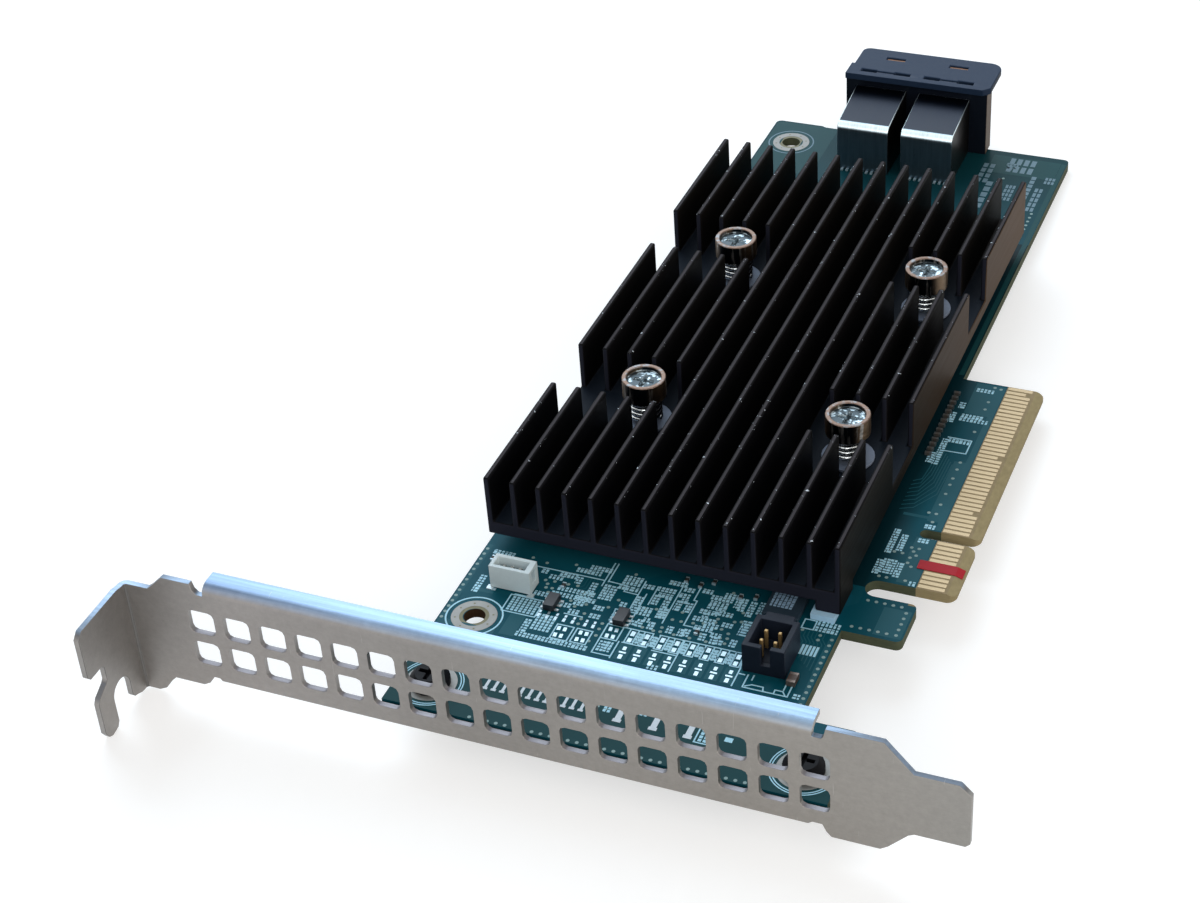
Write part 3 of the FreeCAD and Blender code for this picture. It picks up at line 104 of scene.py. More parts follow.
class Wiring:
    # puts nodes into a tree: a material's or the world's
    def __init__(self, tree):
        self.tree = tree

    def put(self, node, name, value):
        socket = node.inputs[name]
        if isinstance(value, Sock):
            self.tree.links.new(value.socket, socket)
        elif isinstance(value, tuple) and len(value) == 3 and len(socket.default_value) == 4:
            socket.default_value = value + (1.0,)
        else:
            socket.default_value = value

    def node(self, kind, settings=None, inputs=None, output=0):
        made = self.tree.nodes.new(kind)
        for name, value in (settings or {}).items():
            if name == "stops":
                ramp = made.color_ramp
                while len(ramp.elements) < len(value):
                    ramp.elements.new(0.5)
                for element, (place, colour) in zip(ramp.elements, value):
                    element.position = place
                    element.color = tuple(colour) + (1.0,)
            else:
                setattr(made, name, value)
        for name, value in (inputs or {}).items():
            self.put(made, name, value)
        return Sock(self, made.outputs[output])

    def mix(self, mask, first, second):
        inputs = {0: mask, 6: first, 7: second}
        return self.node("ShaderNodeMix", {"data_type": "RGBA"}, inputs, output=2)

    def seen(self):
        # 1 for what the camera, metal and glass look at, 0 for the light that falls on pieces
        kinds = ("Is Camera Ray", "Is Glossy Ray", "Is Transmission Ray")
        camera, glossy, through = [self.node("ShaderNodeLightPath", output=kind) for kind in kinds]
        return (camera + glossy + through).clipped()


class Paint(Wiring):
    # one material while its nodes are being wired
    def __init__(self, name, shader="ShaderNodeBsdfPrincipled"):
        self.material = bpy.data.materials.new(name)
        self.material.use_nodes = True
        super().__init__(self.material.node_tree)
        self.tree.nodes.clear()
        self.end = self.tree.nodes.new("ShaderNodeOutputMaterial")
        self.shader = self.tree.nodes.new(shader)
        self.tree.links.new(self.shader.outputs[0], self.end.inputs[0])

    def set(self, **values):
        for name, value in values.items():
            self.put(self.shader, name.replace("_", " "), value)

    def spot(self):
        # the piece's own coordinates in metres
        return self.node("ShaderNodeTexCoord", output="Object")

    def facing(self):
        # the surface's direction in the piece's own axes: x, y and z
        return self.node("ShaderNodeTexCoord", output="Normal").axes()

    def stretched(self, spot, scale):
        return self.node("ShaderNodeMapping", {}, {"Vector": spot, "Scale": scale})

    def shaded(self, colour, mask, low, high):
        # a colour made darker or lighter by a mask that runs from 0 to 1
        share = self.step(mask, 0.25, 0.75) * (high - low) + low
        inputs = {0: colour, "Scale": share}
        return self.node("ShaderNodeVectorMath", {"operation": "SCALE"}, inputs)

    def noise(self, spot, scale, detail=3.0, roughness=0.55):
        inputs = {"Vector": spot, "Scale": scale, "Detail": detail, "Roughness": roughness}
        return self.node("ShaderNodeTexNoise", {}, inputs)

    def step(self, value, low, high):
        # 0 below low, 1 above high, straight between them
        inputs = {"Value": value, "From Min": low, "From Max": high}
        return self.node("ShaderNodeMapRange", {"clamp": True}, inputs)

    def bump(self, height, distance, strength):
        inputs = {"Height": height, "Distance": distance, "Strength": strength}
        self.put(self.shader, "Normal", self.node("ShaderNodeBump", {}, inputs))
        return self


# Finishes of the board and what is printed or plated on it

boardLook = {
    "bare": (0.002, 0.08, 0.112),  # solder resist over laminate
    "deep": (0.001, 0.054, 0.079),
    "pour": (0.014, 0.096, 0.128),  # solder resist over copper
    "laminate": (0.11, 0.12, 0.074),
    "laminateDark": (0.052, 0.066, 0.042),
    "bevel": (0.4, 0.325, 0.18),
    "bevelDark": (0.24, 0.195, 0.105),
    "contactGap": (0.38, 0.285, 0.175),
    "contactInset": 0.15,  # millimetres from x = 0 to where the bevel starts
    "earEnd": 42.0,  # the retention ear ends short of this y
    "lapDeep": 0.5,  # the resist laps this far over the near edge
    "lapTo": 3.0,  # and only where y is below this
    "holeWall": (0.05, 0.027, 0.013),
    "holeReach": 1.75,
    "holes": [(-57.0, 21.1), (-56.9, 160.4)],
    "roughness": 0.38,
    "edgeRoughness": 0.62,
    "weave": 900.0,
    "gloss": 0.05,
}
shadeLook = {  # painted shade on the component side, in card millimetres
    "bracket": {"colour": (0.006, 0.048, 0.054), "y": (9.0, 12.0), "share": 1.0},
    "far": {"colour": (0.004, 0.041, 0.05), "y": (120.0, 160.0), "share": 0.95},
    "side": {"colour": (0.001, 0.012, 0.016), "x": (-7.4, -3.8), "y": (44.0, 138.0), "share": 0.85},
}


def solderResist():
    paint = Paint("solderResist")
    look = boardLook
    spot = paint.spot()
    x, y, z = spot.axes()
    _, ny, nz = paint.facing()
    flat = nz.size() > 0.985
    # large copper pours with straight edges: a coarse cell pattern, squared along the axes
    cells = paint.node(
        "ShaderNodeTexVoronoi", {"distance": "CHEBYCHEV", "voronoi_dimensions": "2D"},
        {"Vector": spot, "Scale": 150.0, "Randomness": 0.9}, output="Color",
    )
    pour = paint.step(paint.node("ShaderNodeSeparateColor", {}, {0: cells}), 0.62, 0.64)
    cloud = paint.noise(spot, 60.0)
    dark = paint.mix(cloud, look["deep"], look["bare"])
    resist = paint.mix(pour * 0.22 + cloud * 0.08, dark, look["pour"])
    # painted shade on the component side: beside the bracket, beyond the heatsink, and close along
    # its side where the heatsink's shadow falls
    upper = nz > 0.0
    sideLow, sideHigh = map(cardAtY, shadeLook["side"]["y"])
    besideSink = (y > sideLow) * (y < sideHigh)
    masks = {
        "bracket": 1 - paint.step(y, *map(cardAtY, shadeLook["bracket"]["y"])),
        "far": paint.step(y, *map(cardAtY, shadeLook["far"]["y"])),
        "side": besideSink * (1 - paint.step(x, *map(cardAtX, shadeLook["side"]["x"]))),
    }
    for name, shade in shadeLook.items():
        resist = paint.mix(upper * masks[name] * shade["share"], resist, shade["colour"])
    weave = paint.noise(paint.stretched(spot, (1.0, 1.0, 6.0)), look["weave"])
    edge = paint.mix(weave, look["laminate"], look["laminateDark"])
    bevel = paint.mix(weave, look["bevel"], look["bevelDark"])
    gap = paint.mix(weave, look["contactGap"], look["bevelDark"])
    tongue = (x > cardAtX(-look["contactInset"])) * (y > cardAtY(look["earEnd"]))
    # the lacquer also laps over the top of the near edge
    lapped = (ny < -0.9) * (z > boardTop - look["lapDeep"] * mm) * (y < cardAtY(look["lapTo"]))
    masked = (flat + lapped).clipped() * (1 - tongue)
    body = paint.mix(tongue, edge, bevel)
    body = paint.mix(flat * tongue, body, gap)
    reach = look["holeReach"] * mm
    for holeX, holeY in look["holes"]:
        inside = ((x - cardAtX(holeX)).size() < reach) * ((y - cardAtY(holeY)).size() < reach)
        wall = look["holeWall"] if holeY < look["earEnd"] else look["laminate"]
        body = paint.mix(inside, body, wall)
    smoother = masked * (look["edgeRoughness"] - look["roughness"])
    paint.set(
        Base_Color=paint.mix(masked, body, resist),
        Roughness=look["edgeRoughness"] - smoother + cloud * 0.08,
        IOR=1.5,
        Specular_IOR_Level=look["gloss"],
    )
    return paint.bump(paint.noise(spot, 2600.0), 0.00002, 0.2).material


def twoTone(name, dark, light, grain, roughness, uneven=0.0, metal=0.0, gloss=0.5):
    # two close tones in a fine cloud, which may make the surface duller too
    paint = Paint(name)
    cloud = paint.noise(paint.spot(), grain)
    paint.set(
        Base_Color=paint.mix(cloud, dark, light),
        Metallic=metal,
        Roughness=roughness + cloud * uneven if uneven else roughness,
        Specular_IOR_Level=gloss,
    )
    return paint.material


def lacquered(name, dark, light):
    # copper under the solder resist: the same lacquer in another shade
    return twoTone(name, dark, light, 140.0, boardLook["roughness"], gloss=boardLook["gloss"])


def ink(name, dark, light):
    # epoxy ink: uneven cover over the lacquer
    return twoTone(name, dark, light, 1900.0, 0.55, uneven=0.1, gloss=0.3)


def plated(name, tone, roughness):
    # thin plating, rubbed lengthwise and stained in places
    paint = Paint(name)
    spot = paint.spot()
    rubbed = paint.noise(paint.stretched(spot, (0.25, 2.2, 1.0)), 1400.0)
    stain = paint.noise(spot, 160.0)
    warm = tuple(value * share for value, share in zip(tone, (0.8, 0.76, 0.66)))
    paint.set(
        Base_Color=paint.mix((rubbed * 0.6 + stain * 0.4).clipped(), warm, tone),
        Metallic=0.55,
        Roughness=roughness + rubbed * 0.18,
    )
    return paint.bump(rubbed, 0.00001, 0.4).material


def redTape():
    paint = Paint("redTape")
    crease = paint.noise(paint.stretched(paint.spot(), (0.4, 2.0, 1.0)), 700.0)
    paint.set(
        Base_Color=paint.mix(crease, (0.33, 0.01, 0.018), (0.47, 0.022, 0.034)),
        Roughness=0.5 + crease * 0.15,
        Specular_IOR_Level=0.15,
    )
    return paint.bump(crease, 0.00003, 0.5).material


# Metals

steelLook = {
    "face": [  # painted light and shade along the bracket, from its left end to its right
        (0.0, (0.33, 0.314, 0.3)), (0.16, (0.372, 0.35, 0.338)),
        (0.42, (0.318, 0.303, 0.288)), (0.8, (0.342, 0.322, 0.298)), (1.0, (0.35, 0.338, 0.318)),
    ],
    # painted cool sky reflection on what faces up, the rolled lip most of all
    "above": [(0.0, (0.19, 0.265, 0.4)), (0.5, (0.3, 0.42, 0.58)), (1.0, (0.26, 0.36, 0.48))],
    # a dimmer painted reflection on the vents' lower edges
    "ventFloor": (0.165, 0.155, 0.166),
    "vents": (9.5, 103.0),  # millimetres from the bracket's left end
    "ventsUnder": 3.0,  # millimetres below the lip's top
    "lip": (13.2, 99.8),
    # painted sky reflection on the flat cut edges, painted shade on their slopes
    "cutFlatReflection": (0.235, 0.3, 0.39),
    "cutSlopeShade": (0.09, 0.1, 0.12),
    "foldShade": (0.165, 0.16, 0.155),  # painted shade in the tab's bend
    "foldWithin": 2.5,
    "scratch": (0.5, 0.49, 0.47),
    "scratchAbove": 0.735,
    "roughness": 0.4,
    "grain": 5000.0,
    "spangle": 950.0,
}


def bracketSteel():
    # plated sheet with a fine grain along its length and a few handling marks; the tones along its
    # face, on what faces up, in the vents, on the cut edges and in the tab's bend are painted light
    # and shade
    paint = Paint("bracketSteel")
    look = steelLook
    spot = paint.spot()
    x, _, z = spot.axes()
    nx, ny, nz = paint.facing()
    low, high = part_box("bracket")
    along = paint.step(x, low.x, high.x)
    grain = paint.noise(paint.stretched(spot, (0.05, 1.0, 1.0)), look["grain"], 4.0)
    spangle = paint.noise(spot, look["spangle"], 5.0, 0.7)
    cloud = paint.noise(spot, 35.0)
    face = paint.node("ShaderNodeValToRGB", {"stops": look["face"]}, {0: along})
    above = paint.node("ShaderNodeValToRGB", {"stops": look["above"]}, {0: along})

    def between(stretch):
        return (x > low.x + stretch[0] * mm) * (x < low.x + stretch[1] * mm)

    # in the vents, what faces up takes the dimmer painted reflection
    vents = between(look["vents"]) * (z < high.z - look["ventsUnder"] * mm)
    above = paint.mix(vents, above, look["ventFloor"])
    # beside the rolled lip the sheet's cut edge shows, with a painted sky reflection where it is
    # flat and painted shade where it slopes
    cut = paint.mix(paint.step(nz, 0.75, 0.95), look["cutSlopeShade"], look["cutFlatReflection"])
    above = paint.mix((between(look["lip"]) + vents).clipped(), cut, above)
    # the rolled lip is streaked along its length
    streak = paint.noise(paint.stretched(spot, (0.03, 1.0, 1.0)), 1500.0, 4.0, 0.6)
    above = paint.shaded(above, streak, 0.72, 1.22)
    # what faces up takes the painted sky reflection
    tone = paint.mix(paint.step(nz, 0.35, 0.9), face, above)
    # painted shade in the tab's bend
    foldShade = (nx > 0.25) * (ny < -0.25) * (x < low.x + look["foldWithin"] * mm)
    tone = paint.mix(foldShade, tone, look["foldShade"])
    worn = (grain * 0.14 + spangle * 0.52 + cloud * 0.26 - 0.06).clipped()
    tone = paint.shaded(tone, worn, 0.78, 1.16)
    marked = paint.noise(paint.stretched(spot, (9.0, 1.0, 0.35)), 330.0, 2.0)
    scratch = (marked > look["scratchAbove"]) * 0.35
    paint.set(
        Base_Color=paint.mix(scratch, tone, look["scratch"]),
        Metallic=0.9,
        Roughness=look["roughness"] + spangle * 0.16,
    )
    return paint.bump(spangle + grain * 0.3, 0.00001, 0.55).material


finLook = {
    "dark": (0.0014, 0.0014, 0.0018),
    "light": (0.0042, 0.0042, 0.0052),
    # painted highlight along the fins' tops
    "crestHighlight": (0.042, 0.036, 0.041),
    "crestWithin": 0.1,  # millimetres below the fins' tops
    "chip": (0.66, 0.72, 0.78),
    "chipWithin": 0.16,
    "chipAbove": 0.684,
    # painted cool reflection on what faces up between the fins
    "base": (0.0075, 0.0115, 0.0185),
    "baseBelow": 2.0,
    # painted warm reflection on the sides that face the contact edge
    "warmReflectionNear": (0.0042, 0.004, 0.0036),
    "warmReflectionFar": (0.088, 0.054, 0.032),
    "warmReflectionInner": (0.0055, 0.0045, 0.0036),
    "warmReflectionFrom": 25.0,  # millimetres from the heatsink's near end
    "outerWithin": 0.2,
    # painted cool reflection on the faces towards the bracket
    "endFaceReflection": (0.015, 0.0165, 0.026),
    "gloss": 0.05,
}


def anodisedBlack():
    # black heatsink: drawn lines along the fins, specks of bare metal on the top edges, a painted
    # highlight along the tops, painted reflections where it faces the bracket and up between the
    # fins, and a painted warm reflection on the sides that face the contact edge
    paint = Paint("anodisedBlack")
    look = finLook
    spot = paint.spot()
    x, y, z = spot.axes()
    nx, ny, nz = paint.facing()
    low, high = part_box("heatsink")
    lines = paint.noise(paint.stretched(spot, (1.0, 0.03, 1.0)), 2600.0)
    cloud = paint.noise(spot, 120.0)
    crestHighlight = (z > high.z - look["crestWithin"] * mm) * paint.step(nz, 0.94, 0.996)
    base = (z < high.z - look["baseBelow"] * mm) * (nz > 0.9)
    specks = paint.noise(spot, 1300.0, 4.0, 0.65) > look["chipAbove"]
    chips = (z > high.z - look["chipWithin"] * mm) * (nz > 0.5) * specks
    black = paint.mix(lines * 0.6 + cloud * 0.3, look["dark"], look["light"])
    # painted warm reflection on the sides that face the contact edge, most of all on the outermost
    # one, far along
    outer = (x > high.x - look["outerWithin"] * mm) * (nx > 0.7)
    inner = (nx > 0.7) * (1 - outer)
    far = paint.step(y, low.y + look["warmReflectionFrom"] * mm, high.y)
    warm = paint.mix(far, look["warmReflectionNear"], look["warmReflectionFar"])
    tone = paint.mix(inner * far, black, look["warmReflectionInner"])
    tone = paint.mix(outer, tone, warm)
    tone = paint.mix(base, tone, look["base"])
    # painted cool reflection where it faces the bracket
    tone = paint.mix(paint.step(0 - ny, 0.7, 0.95), tone, look["endFaceReflection"])
    tone = paint.mix(crestHighlight * (0.55 + cloud * 0.6), tone, look["crestHighlight"])
    paint.set(
        Base_Color=paint.mix(chips, tone, look["chip"]),
        Roughness=0.44 + lines * 0.14,
        IOR=1.45,
        Specular_IOR_Level=look["gloss"],
    )
    return paint.bump(lines, 0.00001, 0.35).material


screwLook = {
    "rim": (0.165, 0.112, 0.088),
    # painted highlights on the rim
    "rimHighlight": (0.2, 0.205, 0.215),
    "rimWithin": 0.12,  # millimetres below the head's top
    "cupDark": (0.036, 0.046, 0.052),
    # painted curled glints in the dark cup
    "cupGlint": (0.35, 0.42, 0.455),
    "cross": (0.52, 0.6, 0.64),
    "recess": 1.9,  # radius within which the drive recess lies
    "side": (0.006, 0.01, 0.014),
    # painted warm reflection and glints on the sides
    "sideWarmReflection": (0.16, 0.11, 0.07),
    "sideGlint": (0.34, 0.33, 0.32),
    "swirl": 950.0,
    "middle": (-32.35, 86.65),  # between the four axes, on the card
    "apart": (31.9, 41.1),
}


def nickelPlate():
    # turned cup heads: pale copper-tinted rim with painted highlights, dark cup with painted curled
    # glints, near-black sides with a painted warm reflection and glints
    paint = Paint("nickelPlate")
    look = screwLook
    spot = paint.spot()
    x, y, z = spot.axes()
    nx, _, nz = paint.facing()
    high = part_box("heatsink_screws")[1]
    fine = paint.noise(spot, 900.0)
    swirl = paint.noise(paint.stretched(spot, (1.0, 1.0, 2.5)), look["swirl"], 2.0)
    rimLevel = z > high.z - look["rimWithin"] * mm
    up = paint.step(nz, 0.25, 0.6)
    cup = paint.mix(paint.step(swirl, 0.51, 0.6), look["cupDark"], look["cupGlint"])
    rimShine = paint.step(fine * 0.6 + swirl * 0.4, 0.5, 0.6)
    rim = paint.mix(rimShine, look["rim"], look["rimHighlight"])
    side = paint.mix(paint.step(nx.size(), 0.45, 0.9), look["side"], look["sideWarmReflection"])
    # painted upright glints round the head, as chrome shows them
    glint = paint.step(paint.noise(paint.stretched(spot, (1.0, 1.0, 0.12)), 900.0), 0.56, 0.66)
    side = paint.mix(glint, side, look["sideGlint"])
    # inside the drive recess, near the screw's own axis, the walls catch the light
    u = (x - cardAtX(look["middle"][0])).size() - look["apart"][0] / 2 * mm
    v = (y - cardAtY(look["middle"][1])).size() - look["apart"][1] / 2 * mm
    recess = (u * u + v * v) < (look["recess"] * mm) ** 2
    side = paint.mix(recess, side, look["cross"])
    outside = paint.mix(rimLevel, paint.mix(up, side, cup), rim)
    paint.set(
        Base_Color=paint.shaded(outside, fine, 0.85, 1.1),
        Metallic=1.0,
        Roughness=0.3 + fine * 0.14 + rimLevel * 0.14,
    )
    return paint.bump(swirl, 0.00012, 0.5).material


def springWire():
    # round wire with painted light: bright where it faces the bracket, near black on its other
    # sides
    paint = Paint("springWire")
    nx, ny, nz = paint.facing()
    fine = paint.noise(paint.spot(), 1500.0)
    lit = paint.step(0 - ny * 0.75 - nx * 0.55 + nz * 0.35, 0.2, 0.7)
    paint.set(
        Base_Color=paint.mix(lit, (0.016, 0.016, 0.019), (0.92, 0.98, 1.0)),
        Metallic=1.0,
        Roughness=0.22 + fine * 0.1,
    )
    return paint.material


coverLook = {
    # painted reflections: a dark sky in the tops, darker towards the back
    "top": (0.0036, 0.0052, 0.01),
    "topDark": (0.002, 0.0046, 0.0115),
    "darkFrom": 5.0,  # millimetres from the covers' near ends
    # painted white highlight along the bend
    "bend": (0.8, 0.95, 1.0),
    # painted dark reflections on the fronts and sides
    "front": (0.115, 0.16, 0.195),
    "side": (0.02, 0.016, 0.014),
}


def coverSteel():
    # bright folded covers with painted reflections: a dark sky in the tops, darker towards the
    # back, one painted white highlight along the bend, dark fronts and sides
    paint = Paint("coverSteel")
    look = coverLook
    spot = paint.spot()
    _, y, _ = spot.axes()
    nx, _, nz = paint.facing()
    low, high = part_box("port_cover_left")
    lines = paint.noise(paint.stretched(spot, (1.0, 0.06, 0.06)), 3000.0)
    back = paint.step(y, low.y + look["darkFrom"] * mm, high.y)
    top = paint.mix(back * 0.7 + lines * 0.3, look["top"], look["topDark"])
    bend = paint.step(nz, 0.3, 0.55) * (1 - paint.step(nz, 0.9, 0.985))
    tone = paint.mix(paint.step(nz, 0.45, 0.95), look["front"], top)
    tone = paint.mix(bend, tone, look["bend"])
    tone = paint.mix(paint.step(nx.size(), 0.6, 0.9), tone, look["side"])
    paint.set(
        Base_Color=paint.shaded(tone, lines, 0.85, 1.15),
        Metallic=0.9,
        Roughness=0.24 + lines * 0.12,
    )
    return paint.bump(lines, 0.00001, 0.3).material


# Plastics, ceramics and pads

def moulded(name, dark, light, roughness, gloss=0.3):
    # a moulded plastic: two close tones, a fine spark-eroded grain and slight flow marks
    paint = Paint(name)
    grain = 1600.0
    spot = paint.spot()
    fine = paint.noise(spot, grain, 4.0, 0.6)
    flow = paint.noise(paint.stretched(spot, (1.0, 3.0, 0.6)), grain / 9)
    paint.set(
        Base_Color=paint.mix((fine * 0.5 + flow * 0.5).clipped(), dark, light),
        Roughness=roughness + fine * 0.15,
        IOR=1.5,
        Specular_IOR_Level=gloss,
    )
    return paint.bump(fine, 0.00002, 0.4).material


portLook = {
    # painted slate sky reflection where it faces up
    "top": (0.011, 0.024, 0.054),
    "topLight": (0.018, 0.035, 0.07),
    # painted shade on the wall
    "wall": (0.003, 0.005, 0.01),
    # painted warm reflection on the end face
    "side": (0.11, 0.078, 0.055),
    "rimWithin": 1.3,  # millimetres below the hood's top
}


def portBlack():
    # black glass-filled housing with painted light: a slate sky reflection where it faces up and
    # along the lit front rim, darker on its wall as painted shade, a painted warm reflection on its
    # end face
    paint = Paint("portBlack")
    look = portLook
    spot = paint.spot()
    _, _, z = spot.axes()
    nx, ny, nz = paint.facing()
    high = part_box("port_housing")[1]
    fine = paint.noise(spot, 1500.0, 4.0, 0.6)
    flow = paint.noise(paint.stretched(spot, (1.0, 3.0, 0.6)), 130.0)
    top = paint.mix((fine * 0.5 + flow * 0.5).clipped(), look["top"], look["topLight"])
    rim = z > high.z - look["rimWithin"] * mm
    lit = (paint.step(nz, 0.2, 0.8) + rim * paint.step(ny, 0.2, -0.6) * 0.75).clipped()
    tone = paint.mix(lit * rim, look["wall"], top)
    paint.set(
        Base_Color=paint.mix(paint.step(nx, 0.6, 0.9) * (1 - rim), tone, look["side"]),
        Roughness=0.45 + fine * 0.15,
        Specular_IOR_Level=0.12,
    )
    return paint.bump(fine, 0.00002, 0.4).material


def tippedCeramic(name, body, lightBody, ends, tin):
    # a chip part: its body and its tinned ends, told apart by the mask that ends gives
    paint = Paint(name)
    spot = paint.spot()
    x, y, _ = spot.axes()
    tip = ends(x, y)
    tone = paint.mix(paint.noise(spot, 1300.0), body, lightBody)
    paint.set(
        Base_Color=paint.mix(tip, tone, tin),
        Metallic=tip * 0.6,
        Roughness=0.42 - tip * 0.1,
    )
    return paint.material


tipLook = {  # millimetres from a body's middle to where its ends start
    "coupling": 0.24,
    "filter": 0.55,
    "logic": 0.82,
    "logicMiddle": 1.4,  # from either end of the pair to a body's middle
}


def couplingEnds(x, y):
    low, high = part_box("coupling_capacitors")
    return (x - (low.x + high.x) / 2).size() > tipLook["coupling"] * mm


def filterEnds(x, y):
    low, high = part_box("filter_capacitor")
    return (y - (low.y + high.y) / 2).size() > tipLook["filter"] * mm


def legEnds(x, y):
    # both logic chips: what lies beside the two bodies is a leg
    low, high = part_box("logic_chips")
    middle = tipLook["logicMiddle"] * mm
    half = tipLook["logic"] * mm
    return ((x - (low.x + middle)).size() > half) * ((x - (high.x - middle)).size() > half)


def socketPins():
    # bright solder lugs on the board, darker up in the mouth as painted shade
    paint = Paint("socketPins")
    spot = paint.spot()
    _, _, z = spot.axes()
    fine = paint.noise(spot, 1400.0)
    bright = paint.mix(fine, (0.42, 0.5, 0.54), (0.62, 0.72, 0.76))
    paint.set(
        Base_Color=paint.mix(z > 0.9 * mm, bright, (0.17, 0.17, 0.15)),
        Metallic=0.4,
        Roughness=0.42 + fine * 0.1,
    )
    return paint.material


finishes = {material.name: material for material in (
    solderResist(),
    ink("printWhite", (0.31, 0.58, 0.72), (0.51, 0.84, 0.98)),
    ink("dimInk", (0.21, 0.34, 0.48), (0.33, 0.5, 0.68)),
    ink("softInk", (0.09, 0.17, 0.22), (0.18, 0.29, 0.36)),
    ink("blockInk", (0.56, 0.62, 0.68), (0.74, 0.8, 0.85)),
    twoTone("tinned", (0.34, 0.47, 0.54), (0.58, 0.72, 0.79), 1400.0, 0.34, 0.2, metal=0.6),
    twoTone("paleRing", (0.2, 0.2, 0.188), (0.32, 0.315, 0.3), 900.0, 0.5, 0.1, metal=0.2),
    twoTone("bareLaminate", (0.105, 0.095, 0.04), (0.2, 0.18, 0.085), 1500.0, 0.6),
    lacquered("buriedCopper", (0.012, 0.088, 0.116), (0.02, 0.108, 0.14)),
    # a darker copy of the buried copper, as painted shade beyond the heatsink
    lacquered("farCopperShaded", (0.008, 0.058, 0.066), (0.013, 0.07, 0.078)),
    lacquered("viaDot", (0.2, 0.31, 0.31), (0.34, 0.46, 0.45)),
    plated("goldPlate", (0.49, 0.38, 0.238), 0.42),
    plated("copperDull", (0.36, 0.2, 0.13), 0.5),
    plated("pinGold", (0.42, 0.285, 0.13), 0.36),
    plated("brassNut", (0.55, 0.5, 0.36), 0.3),
    redTape(),
    bracketSteel(),
    anodisedBlack(),
    nickelPlate(),
    springWire(),
    coverSteel(),
    twoTone("blackScrew", (0.002, 0.002, 0.003), (0.006, 0.006, 0.008), 900.0, 0.42, 0.2,
            gloss=0.08),
    twoTone("packageLid", (0.36, 0.36, 0.36), (0.5, 0.5, 0.5), 1100.0, 0.3, 0.12, metal=1.0),
    portBlack(),
    moulded("blockBlack", (0.004, 0.005, 0.008), (0.012, 0.014, 0.018), 0.45, 0.12),
    moulded("shroudBlack", (0.004, 0.0066, 0.0125), (0.0125, 0.0185, 0.033), 0.42, 0.14),
    moulded("chipBlack", (0.008, 0.008, 0.011), (0.02, 0.021, 0.026), 0.5, 0.25),
    moulded("chipSlate", (0.015, 0.03, 0.046), (0.028, 0.048, 0.07), 0.42, 0.25),
    moulded("socketIvory", (0.54, 0.62, 0.64), (0.7, 0.8, 0.83), 0.45),
    moulded("washerNylon", (0.13, 0.16, 0.22), (0.23, 0.27, 0.36), 0.5),
    moulded("softPad", (0.34, 0.57, 0.78), (0.49, 0.75, 0.95), 0.65),
    moulded("packageGreen", (0.012, 0.06, 0.03), (0.02, 0.08, 0.04), 0.4),
    moulded("ferriteGrey", (0.03, 0.03, 0.032), (0.06, 0.06, 0.062), 0.6),
    moulded("tanCeramic", (0.23, 0.14, 0.07), (0.34, 0.22, 0.12), 0.4),
    moulded("darkCeramic", (0.02, 0.02, 0.02), (0.05, 0.048, 0.045), 0.4),
    # darker tones as painted shade beside the heatsink
    tippedCeramic("couplingTanShaded", (0.045, 0.04, 0.036), (0.085, 0.072, 0.06), couplingEnds,
                  (0.12, 0.135, 0.14)),
    tippedCeramic("filterTan", (0.03, 0.016, 0.01), (0.075, 0.04, 0.024), filterEnds,
                  (0.17, 0.13, 0.11)),
    tippedCeramic("chipLegged", (0.004, 0.004, 0.007), (0.009, 0.009, 0.014), legEnds,
                  (0.4, 0.45, 0.47)),
    socketPins(),
)}
print("finishes:", len(finishes))


# Meshes from arrays

levels = {  # millimetres over the board's top
    "sunk": -0.03, "copper": 0.008, "via": 0.018, "ink": 0.022, "pad": 0.035, "dot": 0.045,
    "tip": 0.38,
}


def newPiece(name, points, faces, finish, smooth=False):
    mesh = bpy.data.meshes.new(name)
    mesh.from_pydata(np.asarray(points).tolist(), [], [list(face) for face in faces])
    mesh.update()
    if smooth:
        mesh.polygons.foreach_set("use_smooth", np.ones(len(mesh.polygons), bool))
    piece = bpy.data.objects.new(name, mesh)
    bpy.context.scene.collection.objects.link(piece)
    mesh.materials.append(finishes[finish])
    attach(piece, "root")
    return piece


cubeCorners = np.array([
    [-1, -1, 0], [1, -1, 0], [1, 1, 0], [-1, 1, 0], [-1, -1, 1], [1, -1, 1], [1, 1, 1], [-1, 1, 1],
], float)
cubeFaces = np.array([
    [3, 2, 1, 0], [4, 5, 6, 7], [0, 1, 5, 4], [1, 2, 6, 5], [2, 3, 7, 6], [3, 0, 4, 7],
])


def boxPiece(name, rows, high, finish, low=levels["sunk"]):
    # every row is x, y, width, depth, turn: a flat block of that size, turned about its middle
    rows = np.asarray(rows, float)
    half = cubeCorners[None, :, :2] * rows[:, None, 2:4] / 2
    turn = rows[:, 4:5]
    x = rows[:, 0:1] + half[..., 0] * np.cos(turn) - half[..., 1] * np.sin(turn)
    y = rows[:, 1:2] + half[..., 0] * np.sin(turn) + half[..., 1] * np.cos(turn)
    # tops differ by a hair from row to row, so that blocks that cross share no face
    hair = (np.arange(len(rows)) % 11)[:, None] * 0.0006
    z = low + cubeCorners[None, :, 2] * (high + hair - low) + 0 * x
    points = onCard(np.stack([x, y, z], -1).reshape(-1, 3))
    faces = (cubeFaces[None] + 8 * np.arange(len(rows))[:, None, None]).reshape(-1, 4)
    return newPiece(name, points, faces, finish)


